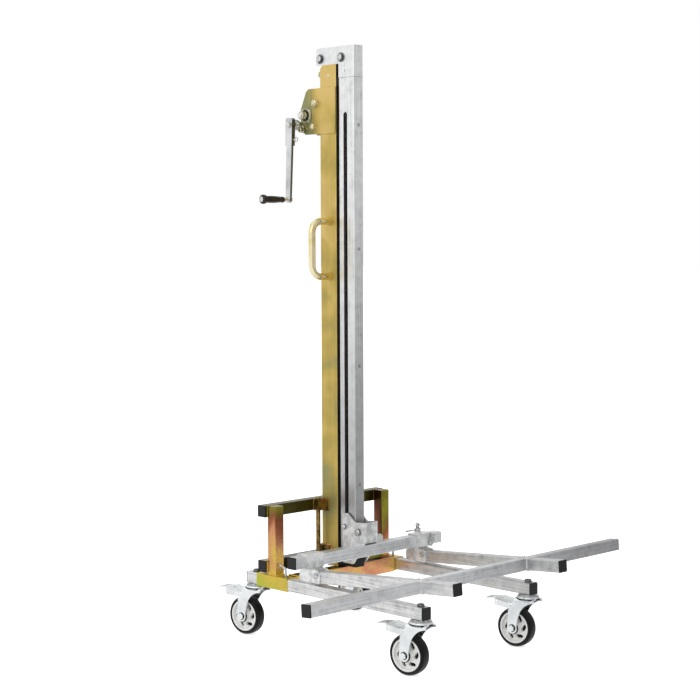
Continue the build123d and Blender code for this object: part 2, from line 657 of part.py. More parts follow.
def fork_collar(side):
    """Collar round the carriage bar with the two clevis cheeks that hold a fork arm."""
    x = side * COLLAR_X
    y = BAR_FRONT + TUBE / 2
    z = BAR_LOW + TUBE / 2
    hole = TUBE / 2 + RUN
    out = hole + COLLAR_WALL
    half = COLLAR_WIDTH / 2
    collar = box(x - half, x + half, y - out, y + out, z - out, z + out)
    collar = fillet(collar.edges().filter_by(Axis.X), 3)
    low = z - out
    cheek = [
        (y + out - 4, low + 2), (y - out + 4, low + 2), (y - out + 4, low - 0.8), (PIVOT_Y - 2, PIVOT_Z + 12),
        (PIVOT_Y - 12, PIVOT_Z + 3), (PIVOT_Y - 12, PIVOT_Z - 20), (y + out + 4, PIVOT_Z - 20),
        (y + out + 9, PIVOT_Z - 14), (y + out + 9, PIVOT_Z + 4),
    ]
    arm_x = side * FORK_X
    for x0 in (arm_x - TUBE / 2 - 0.6 - CLEVIS, arm_x + TUBE / 2 + 0.6):
        collar += side_plate(cheek, x0, x0 + CLEVIS)
    collar -= box(x - half, x + half, y - hole, y + hole, z - hole, z + hole)
    reach = TUBE / 2 + 0.6 + CLEVIS
    collar -= rod_x(arm_x - reach, arm_x + reach, PIVOT_Y, PIVOT_Z, 5 + FIT)
    if side > 0:
        collar += rod_z(CLAMP_X, y, z + out, z + out + 6, 9)
        collar -= rod_z(CLAMP_X, y, z + hole, z + out + 6, 5 + FIT)
        collar -= rod_y(WING_X, y - out, y - hole, z, 4 + FIT)
    return collar


def collar_bolts():
    """Pivot pins of the fork arms and the wing bolt on the clamped collar."""
    bolts = []
    reach = TUBE / 2 + 0.6 + CLEVIS
    for side in (-1, 1):
        x = side * FORK_X
        pin = rod_x(x - reach - 2, x + reach + 2, PIVOT_Y, PIVOT_Z, 5)
        for end in (x - reach - 3, x + reach + 0.2):
            pin += rod_x(end, end + 2.8, PIVOT_Y, PIVOT_Z, 7)
        bolts.append(pin)
    y = BAR_FRONT - RUN - COLLAR_WALL
    z = BAR_LOW + TUBE / 2
    wing = rod_y(WING_X, y - 9, BAR_FRONT - 0.1, z, 4)
    wing += rod_y(WING_X, y - 9, y, z, 6.5)
    blade = Plane.XZ.offset(-(y - 4)) * Pos(WING_X, z) * extrude(SlotOverall(34, 11, rotation=72), 3)
    bolts.append(wing + blade)
    return bolts


def clamp_screw():
    """Clamp screw with a ball head and a sliding tommy bar."""
    y = BAR_FRONT + TUBE / 2
    top = BAR_LOW + TUBE + RUN + COLLAR_WALL + 6
    screw = rod_z(CLAMP_X, y, BAR_LOW + TUBE + 0.1, top + 14, 5)
    screw += rod_z(CLAMP_X, y, top + 0.3, top + 8, 7)
    screw += Pos(CLAMP_X, y, top + 16) * Sphere(6)
    bar = rod_x(CLAMP_X - 42, CLAMP_X + 12, y, top + 4, 2)
    bar += Pos(CLAMP_X - 42, y, top + 4) * Sphere(3)
    return screw + bar


def tilted(shape):
    """Fork parts are drawn level about the pivot, then set at the fork's rest angle."""
    return Pos(0, PIVOT_Y, PIVOT_Z) * Rot(-FORK_TILT, 0, 0) * shape


def fork_frame():
    arms, caps = [], []
    half = TUBE / 2
    for side in (-1, 1):
        x = side * FORK_X
        arm = tube_y(x, -FORK_DROP, -FORK_BAR + half, FORK_HEEL)
        arm -= rod_x(x - half, x + half, 0, 0, 5 + FIT)
        arms.append(tilted(arm))
        arms.append(tilted(tube_y(x, -FORK_DROP, -FORK_TIP, -FORK_BAR - half)))
        caps.append(tilted(cap_y(x, -FORK_TIP, -FORK_DROP, True)))
        caps.append(tilted(cap_x(side * FORK_BAR_HALF, -FORK_BAR, -FORK_DROP)))
    bar = tilted(tube_x(-FORK_BAR, -FORK_DROP, -FORK_BAR_HALF, FORK_BAR_HALF))
    return arms, bar, caps


def caster_place(x, y):
    return Pos(x, y, 0) * Rot(0, 0, CASTER_TURN)


def caster_stem(x, y):
    """Threaded stem through the leg with its bearing cup below and its nut on top."""
    stem = rod_z(x, y, YOKE_TOP + RUN, LEG_LOW, 19.5)
    stem += rod_z(x, y, YOKE_TOP + RUN, YOKE_TOP + RUN + 1.5, CROWN_R - 1.5)
    stem += rod_z(x, y, LEG_LOW, LEG_LOW + TUBE + 7.5, 5)
    stem += rod_z(x, y, LEG_LOW + TUBE, LEG_LOW + TUBE + 1.5, 9.5)
    return stem + hex_z(x, y, LEG_LOW + TUBE + 1.5, LEG_LOW + TUBE + 6.5, 15)


def caster_yoke():
    """A pressed yoke: one sheet folded over in a round-shouldered U, with tapered cheeks."""
    top = YOKE_TOP - 4
    reach = YOKE_HALF
    fold = RectangleRounded(2 * reach, 2 * top, 12)
    fold -= RectangleRounded(2 * (reach - YOKE_SHEET), 2 * (top - YOKE_SHEET), 9)
    sheet = extrude(Plane.XZ.offset(60) * fold, -180)
    front_tangent = (TRAIL - 13.5, WHEEL_R + 4)
    rear_tangent = (TRAIL + 13.5, WHEEL_R + 4)
    low = (TRAIL, WHEEL_R - 14)
    rear = Polyline(rear_tangent, (TRAIL + 11, 96), (30, 118), (28, top), (-28, top), (-28, 119))
    front = Spline((-28, 119), (2, 104), (15, 82), front_tangent)
    outline = make_face([rear, front, ThreePointArc(front_tangent, low, rear_tangent)])
    sides = Plane.YZ.offset(-reach) * extrude(outline, 2 * reach)
    yoke = sheet & sides
    crown = rod_z(0, 0, top - YOKE_SHEET, YOKE_TOP, CROWN_R)
    crown = fillet(crown.edges().filter_by(GeomType.CIRCLE).group_by(Axis.Z)[-1], 2.5)
    yoke += crown
    yoke -= rod_x(-reach, reach, TRAIL, WHEEL_R, AXLE_R + FIT)
    yoke -= rod_x(-reach, reach, PEDAL_Y, PEDAL_Z, 3 + FIT)
    return yoke


def caster_axle():
    ends = YOKE_HALF
    return bolt_x(-ends, ends, TRAIL, WHEEL_R, AXLE_R, 15)


def caster_wheel():
    """Wheel centre: hub, dished web with six slanted windows, and the rim under the tyre."""
    points = [
        (AXLE_R + FIT, -HUB_HALF), (HUB_R - 4, -HUB_HALF), (HUB_R, -10), (RIM_R - 5, -5),
        (RIM_R - 4, -TYRE_HALF + 2), (RIM_R, -TYRE_HALF + 2), (RIM_R, TYRE_HALF - 2),
        (RIM_R - 4, TYRE_HALF - 2), (RIM_R - 5, 5), (HUB_R, 10), (HUB_R - 4, HUB_HALF),
        (AXLE_R + FIT, HUB_HALF),
    ]
    wheel = revolve(make_face(Polyline(*points, close=True)), Axis.Y)
    window = extrude(SlotOverall(19, 9.5, rotation=58), 60, both=True)
    for i in range(6):
        around = 60 * i
        wheel -= Rot(0, around, 0) * Pos((HUB_R + RIM_R - 5) / 2, 0, 0) * Rot(90, 0, 0) * window
    return Pos(0, TRAIL, WHEEL_R) * Rot(0, 0, -90) * wheel


def caster_tyre():
    inside = RIM_R + 0.02
    half = TYRE_HALF
    points = [
        (inside, -half + 2), (RIM_R + 3, -half), (WHEEL_R - 5, -half), (WHEEL_R - 1, -half + 5), (WHEEL_R, 0),
        (WHEEL_R - 1, half - 5), (WHEEL_R - 5, half), (RIM_R + 3, half), (inside, half - 2),
    ]
    flank = Polyline(*points[:4])
    tread = ThreePointArc(points[3], points[4], points[5])
    rest = Polyline(*points[5:], points[0])
    tyre = revolve(make_face([flank, tread, rest]), Axis.Y)
    return Pos(0, TRAIL, WHEEL_R) * Rot(0, 0, -90) * tyre


def caster_pedal():
    """Brake pedal on a cross pin between the cheeks, with side flanges and an upturned tread behind."""
    half = 17.0
    sheet = 2.5
    route = [(PEDAL_Y - 4, PEDAL_Z + 1), (48, 114), (86, 121), (PEDAL_REACH, 118)]
    under = [(y, z - sheet) for y, z in reversed(route)]
    plate = side_plate(route + under, -half, half)
    plate = fillet(plate.edges().filter_by(Axis.Z).group_by(Axis.Y)[-1], 1.0)
    outside = YOKE_HALF + 2.4
    web = [(50, 114.4), (84, 120.6), (84, 120.6 - sheet), (50, 114.4 - sheet)]
    plate += side_plate(web, -outside, outside)
    for x in (-outside, outside - 2):
        flange = side_plate([(36, 116), (50, 114.4), (84, 120.6), (82, 104), (44, 100), (36, 106)], x, x + 2)
        for y, z in ((77, 114), (77, 107), (56, 108)):
            flange -= rod_x(x, x + 2, y, z, 1.8)
        plate += flange
    for y, x in ((74, 0), (98, -8), (98, 8)):
        plate -= rod_z(x, y, 100, 130, 4)
    plate += rod_x(-YOKE_HALF, YOKE_HALF, PEDAL_Y, PEDAL_Z, 3)
    plate += rod_x(-half, half, PEDAL_Y, PEDAL_Z, 4.5)
    return plate


parts = {}
sleeves, legs, uprights, cross, caps = base_frame()
parts["leg_sleeves"] = sleeves
parts["legs"] = legs
parts["base_uprights"] = uprights
parts["cross_tubes"] = cross
parts["base_caps"] = caps
parts["post_brackets"], parts["upright_pins"] = post_brackets()
parts["leg_locks"] = leg_locks()
parts["post"] = [fixed_post()]
parts["carry_handle"] = [carry_handle()]
parts["winch_plates"] = winch_frame()
parts["post_bolts"] = post_bolts()
parts["rope_anchor"] = rope_anchor()
upper_guide, lower_guide = guides()
parts["post_guide"] = [upper_guide]
parts["post_sheave"] = [grooved_wheel(SHEAVE_Y, SHEAVE_Z, SHEAVE_R, 14, 5 + FIT)]

parts["mast"] = [sliding_mast()]
parts["mast_head"] = [mast_head()]
parts["mast_foot"] = [lower_guide]
parts["head_bolts"] = head_bolts()
parts["pulley_rear"] = [grooved_wheel(*PULLEY_REAR, PULLEY_R, 12, 4 + FIT)]
parts["pulley_front"] = [grooved_wheel(*PULLEY_FRONT, PULLEY_R, 12, 4 + FIT)]

parts["winch_bearings"] = winch_bearings()
parts["winch_drum"] = drum()
parts["crank_shaft"] = [crank_shaft()]
parts["winch_pinion"] = [winch_pinion()]
parts["ratchet_wheel"] = [ratchet_wheel()]
parts["pawl"] = [pawl()]
parts["crank_sleeve"] = [leaned(crank_sleeve())]
parts["crank_arm"] = [leaned(crank_arm())]
parts["crank_screws"] = [leaned(screw) for screw in crank_screws()]
parts["crank_grip"] = [leaned(crank_grip())]

parts["carriage_plates"] = carriage_plates()
parts["carriage_bolts"] = carriage_bolts()
parts["carriage_guides"] = carriage_guides()
parts["carriage_bar"] = [carriage_bar()]
bar_y = BAR_FRONT + TUBE / 2
bar_z = BAR_LOW + TUBE / 2
parts["bar_caps"] = [cap_x(BAR_HALF, bar_y, bar_z), cap_x(-BAR_HALF, bar_y, bar_z)]
parts["fork_collars"] = [fork_collar(-1), fork_collar(1)]
parts["collar_bolts"] = collar_bolts()
parts["clamp_screw"] = [clamp_screw()]
arms, fork_bar, fork_caps = fork_frame()
parts["fork_arms"] = arms
parts["fork_bar"] = [fork_bar]
parts["fork_caps"] = fork_caps

stems = []
for end, y in zip(("front", "rear"), CASTER_YS):
    for hand, x in (("right", -LEG_X), ("left", LEG_X)):
        name = f"caster_{end}_{hand}"
        place = caster_place(x, y)
        stems.append(caster_stem(x, y))
        parts[f"{name}_yoke"] = [place * caster_yoke(), place * caster_axle()]
        parts[f"{name}_wheel"] = [place * caster_wheel()]
        parts[f"{name}_tyre"] = [place * caster_tyre()]
        parts[f"{name}_pedal"] = [place * caster_pedal()]
parts["caster_stems"] = stems

os.makedirs("parts", exist_ok=True)
low = [1e9] * 3
high = [-1e9] * 3
for name, shapes in parts.items():
    solids = [Pos(0, -FRAME_Y, 0) * solid for shape in shapes for solid in shape.solids()]
    whole = Compound(children=solids) if len(solids) > 1 else solids[0]
    export_step(whole, f"parts/{name}.step")
    span = whole.bounding_box()
    low = [min(a, b) for a, b in zip(low, tuple(span.min))]
    high = [max(a, b) for a, b in zip(high, tuple(span.max))]
print(len(parts), "nodes, box", [round(v, 2) for v in low], [round(v, 2) for v in high])
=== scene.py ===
import math

import bpy
from mathutils import Matrix, Vector


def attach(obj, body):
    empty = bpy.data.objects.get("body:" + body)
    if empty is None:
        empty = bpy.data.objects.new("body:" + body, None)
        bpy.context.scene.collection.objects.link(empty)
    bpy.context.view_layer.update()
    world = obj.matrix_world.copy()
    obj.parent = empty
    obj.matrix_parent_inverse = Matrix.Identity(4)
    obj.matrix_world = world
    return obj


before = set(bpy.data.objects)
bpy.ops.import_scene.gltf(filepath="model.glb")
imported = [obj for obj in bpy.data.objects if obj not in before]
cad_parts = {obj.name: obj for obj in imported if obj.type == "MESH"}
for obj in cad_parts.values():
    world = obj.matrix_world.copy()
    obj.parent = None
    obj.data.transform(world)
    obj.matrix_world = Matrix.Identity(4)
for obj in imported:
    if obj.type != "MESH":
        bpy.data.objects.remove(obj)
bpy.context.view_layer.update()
scene = bpy.context.scene

# BASE FRAME
# Square steel tube, welded up and yellow-chromated as one piece. The bath leaves rainbow
# patches: straw gold turns to salmon, red-brown and leaf green where the film is thicker.


def linear(code):
    """sRGB hex to the linear colour that shader sockets take."""
    parts = [int(code[i:i + 2], 16) / 255 for i in (1, 3, 5)]
    return tuple(c / 12.92 if c <= 0.04045 else ((c + 0.055) / 1.055) ** 2.4 for c in parts) + (1.0,)


def add(tree, kind, attributes=None, inputs=None):
    """Adds a node, sets its attributes, and sets or links its inputs."""
    made = tree.nodes.new(kind)
    for key, value in (attributes or {}).items():
        setattr(made, key, value)
    for key, value in (inputs or {}).items():
        if isinstance(value, bpy.types.NodeSocket):
            tree.links.new(value, made.inputs[key])
        else:
            made.inputs[key].default_value = value
    return made


def ramp(made, *stops):
    """Sets a colour ramp's stops from (position, hex) pairs."""
    band = made.color_ramp
    while len(band.elements) < len(stops):
        band.elements.new(0.5)
    for element, (place, code) in zip(band.elements, stops):
        element.position = place
        element.color = linear(code)
    return made.outputs[0]


def begin(name):
    """A new node material: its tree, its surface shader and the Object coordinate."""
    material = bpy.data.materials.new(name)
    material.use_nodes = True
    tree = material.node_tree
    surface = tree.nodes["Principled BSDF"]
    place = add(tree, "ShaderNodeTexCoord").outputs["Object"]
    return material, tree, surface, place


def dress(material, *names):
    """Gives the CAD nodes a finished material."""
    for name in names:
        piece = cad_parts[name]
        if not piece.material_slots:
            piece.data.materials.append(material)
        for held in piece.material_slots:
            held.material = material


def between(tree, value, low, high):
    """1 where the value lies between two bounds, and 0 elsewhere."""
    over = add(tree, "ShaderNodeMath", {"operation": "GREATER_THAN"}, {0: value, 1: low})
    under = add(tree, "ShaderNodeMath", {"operation": "LESS_THAN"}, {0: value, 1: high})
    both = add(tree, "ShaderNodeMath", {"operation": "MULTIPLY"}, {0: over.outputs[0], 1: under.outputs[0]})
    return both.outputs[0]


def chromate_on_frame():
    """Gives the eye a glossy film that drifts from lime through gold and pink to red-brown and olive, with
    painted light and shade by face and place.
    """
    material, tree, surface, place = begin("yellow chromate zinc, iridescent")
    # places on the frame in metres: sleeve tops, fronts of the cross tubes, ends of the rail
    sleeve_top, tube_front, rail_end = 0.1725, 0.2345, 0.178
    # 133 mm patches of film thickness, over a drift up the 180 mm of the uprights
    cloud = add(tree, "ShaderNodeTexNoise", None,
                {"Vector": place, "Scale": 1000 / 133, "Detail": 2.0, "Distortion": 0.7})
    apart = add(tree, "ShaderNodeSeparateXYZ", None, {"Vector": place})
    drained = add(tree, "ShaderNodeMapRange", None,
                  {"Value": apart.outputs["Z"], "From Min": 0.16, "From Max": 0.34})
    thick = add(tree, "ShaderNodeMix", {"data_type": "FLOAT"},
                {"Factor": 0.34, "A": cloud.outputs["Fac"], "B": drained.outputs["Result"]})
    # painted shade: faces to the front are shifted along the film's colours towards darker olive, and the
    # cross tubes more so
    front = add(tree, "ShaderNodeVectorMath", {"operation": "DOT_PRODUCT"},
                {0: place.node.outputs["Normal"], 1: (0.0, -1.0, 0.0)})
    front_shade_gain = add(tree, "ShaderNodeMapRange", None,
               {"Value": apart.outputs["Z"], "From Min": 0.17, "From Max": 0.34,
                "To Min": 0.03, "To Max": 0.13})
    facing = add(tree, "ShaderNodeClamp", None, {"Value": front.outputs["Value"]})
    shade_depth = add(tree, "ShaderNodeMapRange", None,
               {"Value": apart.outputs["Y"], "From Min": tube_front, "From Max": 0.235, "To Max": 0.4})
    above = add(tree, "ShaderNodeMath", {"operation": "GREATER_THAN"}, {0: apart.outputs["Z"], 1: sleeve_top})
    cross_tube_shade = add(tree, "ShaderNodeMath", {"operation": "MULTIPLY"},
                 {0: shade_depth.outputs["Result"], 1: above.outputs[0]})
    painted_shade_shift = add(tree, "ShaderNodeMath", {"operation": "MULTIPLY_ADD"},
               {0: facing.outputs[0], 1: front_shade_gain.outputs["Result"], 2: cross_tube_shade.outputs[0]})
    # towards the operator's left the rail and sleeve are pinker
    left = add(tree, "ShaderNodeMapRange", None,
               {"Value": apart.outputs["X"], "From Min": 0.02, "From Max": 0.17, "To Max": 0.12})
    # painted shade: faces towards the middle are darkened to a dark red-brown
    around = add(tree, "ShaderNodeSeparateXYZ", None, {"Vector": place.node.outputs["Normal"]})
    half = add(tree, "ShaderNodeMath", {"operation": "SIGN"}, {0: apart.outputs["X"]})
    turned = add(tree, "ShaderNodeMath", {"operation": "MULTIPLY"},
                 {0: around.outputs["X"], 1: half.outputs[0]})
    inward_shade = add(tree, "ShaderNodeMapRange", None,
                 {"Value": turned.outputs[0], "From Min": -0.2, "From Max": -0.9})
    inward_shade_and_pink = add(tree, "ShaderNodeMath", {"operation": "MULTIPLY_ADD"},
               {0: inward_shade.outputs["Result"], 1: -0.06, 2: left.outputs["Result"]})
    more = add(tree, "ShaderNodeMath", {"operation": "ADD"}, {0: inward_shade_and_pink.outputs[0], 1: painted_shade_shift.outputs[0]})
    total = add(tree, "ShaderNodeMath", {"operation": "ADD"},
                {0: thick.outputs["Result"], 1: more.outputs[0]})
    film = add(tree, "ShaderNodeValToRGB", None, {"Fac": total.outputs[0]})
    colour = ramp(film, (0.27, "#B8C646"), (0.345, "#DFC254"), (0.41, "#E0B464"), (0.5, "#D89870"),
                  (0.57, "#B5704E"), (0.65, "#94583A"), (0.74, "#8A7432"),
                  (0.84, "#A09A34"), (0.95, "#565020"))
    # 6.25 mm grain, coarser than the real one so that it shows
    grain = add(tree, "ShaderNodeTexNoise", None, {"Vector": place, "Scale": 1000 / 6.25, "Detail": 3.0})
    shade = add(tree, "ShaderNodeMapRange", None,
                {"Value": grain.outputs["Fac"], "To Min": 0.72, "To Max": 1.1})
    # painted light: faces to the front are lightened towards the bottom, up to 1.38 times
    low = add(tree, "ShaderNodeMapRange", None,
              {"Value": drained.outputs["Result"], "To Min": 1.38, "To Max": 1.0})
    front_low_light = add(tree, "ShaderNodeMath", {"operation": "POWER"},
               {0: low.outputs["Result"], 1: facing.outputs[0]})
    # painted shade down to 0.3 on faces towards the middle, over the painted light on low front faces
    face_shade = add(tree, "ShaderNodeMapRange", None,
              {"Value": inward_shade.outputs["Result"], "To Min": front_low_light.outputs[0], "To Max": 0.3})
    grain_and_shade = add(tree, "ShaderNodeMath", {"operation": "MULTIPLY"},
               {0: shade.outputs["Result"], 1: face_shade.outputs["Result"]})
    # painted shade: the top of the rail, short of its front edge, and the lower cross tube are darkened
    # nearly to black
    level = add(tree, "ShaderNodeMapRange", None,
                {"Value": around.outputs["Z"], "From Min": 0.5, "From Max": 0.9})
    rail = add(tree, "ShaderNodeMath", {"operation": "MULTIPLY"},
               {0: between(tree, apart.outputs["Y"], 0.159, 0.23),
                1: between(tree, apart.outputs["Z"], 0.15, 0.18)})
    tube = add(tree, "ShaderNodeMath", {"operation": "MULTIPLY"},
               {0: between(tree, apart.outputs["Y"], tube_front, 0.27),
                1: between(tree, apart.outputs["Z"], 0.17, 0.21)})
    under_bar_shade = add(tree, "ShaderNodeMath", {"operation": "MULTIPLY_ADD"},
                  {0: level.outputs["Result"], 1: rail.outputs[0], 2: tube.outputs[0]})
    painted_shade = add(tree, "ShaderNodeMath", {"operation": "MULTIPLY"},
               {0: under_bar_shade.outputs[0], 1: between(tree, apart.outputs["X"], -rail_end, rail_end)})
    black = add(tree, "ShaderNodeMapRange", None,
                {"Value": painted_shade.outputs[0], "To Min": grain_and_shade.outputs[0], "To Max": 0.1})
    shaded_colour = add(tree, "ShaderNodeVectorMath", {"operation": "SCALE"},
                 {0: colour, "Scale": black.outputs["Result"]})
    tree.links.new(shaded_colour.outputs["Vector"], surface.inputs["Base Color"])
    wear = add(tree, "ShaderNodeMapRange", None,
               {"Value": grain.outputs["Fac"], "To Min": 0.2, "To Max": 0.4})
    tree.links.new(wear.outputs["Result"], surface.inputs["Roughness"])
    relief = add(tree, "ShaderNodeBump", None,
                 {"Height": grain.outputs["Fac"], "Strength": 0.1, "Distance": 0.0006})
    tree.links.new(relief.outputs["Normal"], surface.inputs["Normal"])
    surface.inputs["Metallic"].default_value = 0.9
    return material


chromate_frame = chromate_on_frame()
dress(chromate_frame, "leg_sleeves", "base_uprights", "cross_tubes")


def nodes_tree(name, **sockets):
    """A geometry node tree with named inputs, its input node and its output node."""
    tree = bpy.data.node_groups.new(name, "GeometryNodeTree")
    tree.interface.new_socket("Geometry", in_out="INPUT", socket_type="NodeSocketGeometry")
    for label, kind in sockets.items():
        tree.interface.new_socket(label, in_out="INPUT", socket_type=kind)
    tree.interface.new_socket("Geometry", in_out="OUTPUT", socket_type="NodeSocketGeometry")
    return tree, add(tree, "NodeGroupInput").outputs, add(tree, "NodeGroupOutput")


def grow(name, points, edges, tree, values, sizes=None):
    """Runs a tree on points and edges in metres, and gives back a plain mesh object."""
    mesh = bpy.data.meshes.new(name)
    mesh.from_pydata(points, edges, [])
    if sizes:
        mesh.attributes.new("size", "FLOAT", "POINT").data.foreach_set("value", sizes)
    piece = bpy.data.objects.new(name, mesh)
    scene.collection.objects.link(piece)
    modifier = piece.modifiers.new("grow", "NODES")
    modifier.node_group = tree
    for item in tree.interface.items_tree:
        if item.item_type == "SOCKET" and item.in_out == "INPUT" and item.name in values:
            modifier[item.identifier] = values[item.name]
    bpy.context.view_layer.update()
    made = bpy.data.meshes.new_from_object(piece.evaluated_get(bpy.context.evaluated_depsgraph_get()))
    piece.modifiers.remove(modifier)
    piece.data = made
    made.name = name
    return piece


def weld_tree():
    """Overlapping flat beads along every line: the ripples of a hand weld."""
    tree, given, out = nodes_tree("weld_bead", Pitch="NodeSocketFloat", Width="NodeSocketFloat",
                                  Finish="NodeSocketMaterial")
    line = add(tree, "GeometryNodeMeshToCurve", None, {"Mesh": given["Geometry"]})
    even = add(tree, "GeometryNodeResampleCurve", {"mode": "LENGTH"},
               {"Curve": line.outputs[0], "Length": given["Pitch"]})
    bead = add(tree, "GeometryNodeMeshUVSphere", None, {"Segments": 8, "Rings": 5, "Radius": 0.5})
    along = add(tree, "GeometryNodeInputTangent")
    facing = add(tree, "FunctionNodeAlignRotationToVector", {"axis": "X"}, {"Vector": along.outputs[0]})
    vary = add(tree, "FunctionNodeRandomValue", {"data_type": "FLOAT"}, {"Min": 0.85, "Max": 1.15, "Seed": 4})
    wide = add(tree, "ShaderNodeMath", {"operation": "MULTIPLY"},
               {0: given["Width"], 1: vary.outputs["Value"]})
    long = add(tree, "ShaderNodeMath", {"operation": "MULTIPLY"}, {0: given["Pitch"], 1: 1.7})
    size = add(tree, "ShaderNodeCombineXYZ", None,
               {"X": long.outputs[0], "Y": wide.outputs[0], "Z": wide.outputs[0]})
    placed = add(tree, "GeometryNodeInstanceOnPoints", None,
                 {"Points": even.outputs[0], "Instance": bead.outputs["Mesh"], "Rotation": facing.outputs[0],
                  "Scale": size.outputs[0]})
    real = add(tree, "GeometryNodeRealizeInstances", None, {"Geometry": placed.outputs[0]})
    smooth = add(tree, "GeometryNodeSetShadeSmooth", None, {"Geometry": real.outputs[0]})
    coat = add(tree, "GeometryNodeSetMaterial", None,
               {"Geometry": smooth.outputs[0], "Material": given["Finish"]})
    tree.links.new(coat.outputs[0], out.inputs[0])
    return tree


weld_bead = weld_tree()


def weld(name, body, finish, lines, pitch=0.0026, width=0.004):
    """Welds along lines of points in millimetres, with the bead's pitch and width in metres."""
    points, edges = [], []
    for line in lines:
        first = len(points)
        points += [Vector(p) / 1000 for p in line]
        edges += [(i, i + 1) for i in range(first, len(points) - 1)]
    piece = grow(name, points, edges, weld_bead, {"Pitch": pitch, "Width": width, "Finish": finish})
    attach(piece, body)


# where the tubes meet, in millimetres: x outwards, y backwards, z up
upright_in, upright_out = 178, 208
upright_front, upright_back, upright_foot = 205.1, 235.1, 170.4
tube_feet = (175.0, 317.5)
rail_end, rail_front, rail_top = 178.6, 157.3, 172.4
post_side, lug_side = 20.3, 46
seams = []
for side in (-1, 1):
    outer = upright_out * side
    seams.append([(180 * side, upright_front, upright_foot), (outer, upright_front, upright_foot),
                  (outer, upright_back, upright_foot)])
    for foot in tube_feet:
        for x in (upright_in * side, outer):
            seams.append([(x, upright_back, foot + 3), (x, upright_back, foot + 27)])
    seams.append([(179 * side, upright_back, 346.4), (207 * side, upright_back, 346.4)])
    seams.append([(rail_end * side, rail_front, 138), (rail_end * side, rail_front, 168)])
    seams.append([(rail_end * side, 159, rail_top), (rail_end * side, 185, rail_top)])
    x = post_side * side
    seams.append([(x, 196.1, 176), (x, 196.1, 225.7), (x, 230, 225.7)])
    seams.append([(x, upright_front, 318), (x, upright_front, 347.2), (x, 228, 347.2)])
    for foot in tube_feet:
        seams.append([(lug_side * side, 235.0, foot + 3), (lug_side * side, 235.0, foot + 27)])
weld("base_welds", "base", chromate_frame, seams)

# LEGS
# Drawn square tube in bright zinc, pushed into the sleeves. Drawing leaves fine lines along
# the tube and the zinc bath a soft grey mottle.


def channel_shade(tree, surface, place, half, low, high, face):
    """Painted shade, nearly black, in a channel and on its sliding face: half width, depth range and face in
    metres.
    """
    apart = add(tree, "ShaderNodeSeparateXYZ", None, {"Vector": place})
    hollow = add(tree, "ShaderNodeMath", {"operation": "MULTIPLY"},
                 {0: between(tree, apart.outputs["X"], -half, half),
                  1: between(tree, apart.outputs["Y"], low, high)})
    sliding = between(tree, apart.outputs["Y"], face - 0.0004, face + 0.0004)
    either = add(tree, "ShaderNodeMath", {"operation": "MAXIMUM"}, {0: hollow.outputs[0], 1: sliding})
    mask = either.outputs[0]
    # 16.7 mm mottle in the painted shade
    shade_mottle = add(tree, "ShaderNodeTexNoise", None, {"Vector": place, "Scale": 1000 / 16.7, "Detail": 2.0})
    tone = add(tree, "ShaderNodeValToRGB", None, {"Fac": shade_mottle.outputs["Fac"]})
    black = ramp(tone, (0.35, "#0E0B07"), (0.7, "#33291A"))
    for socket, shaded in (("Base Color", black), ("Roughness", 0.55), ("Metallic", 0.1)):
        linked = surface.inputs[socket].links
        unshaded = linked[0].from_socket if linked else surface.inputs[socket].default_value
        kind = "RGBA" if socket == "Base Color" else "FLOAT"
        mixed = add(tree, "ShaderNodeMix", {"data_type": kind})
        ends = (6, 7) if kind == "RGBA" else (2, 3)
        tree.links.new(mask, mixed.inputs[0])
        for end, value in zip(ends, (unshaded, shaded)):
            if isinstance(value, bpy.types.NodeSocket):
                tree.links.new(value, mixed.inputs[end])
            else:
                mixed.inputs[end].default_value = value
        tree.links.new(mixed.outputs[2 if kind == "RGBA" else 0], surface.inputs[socket])


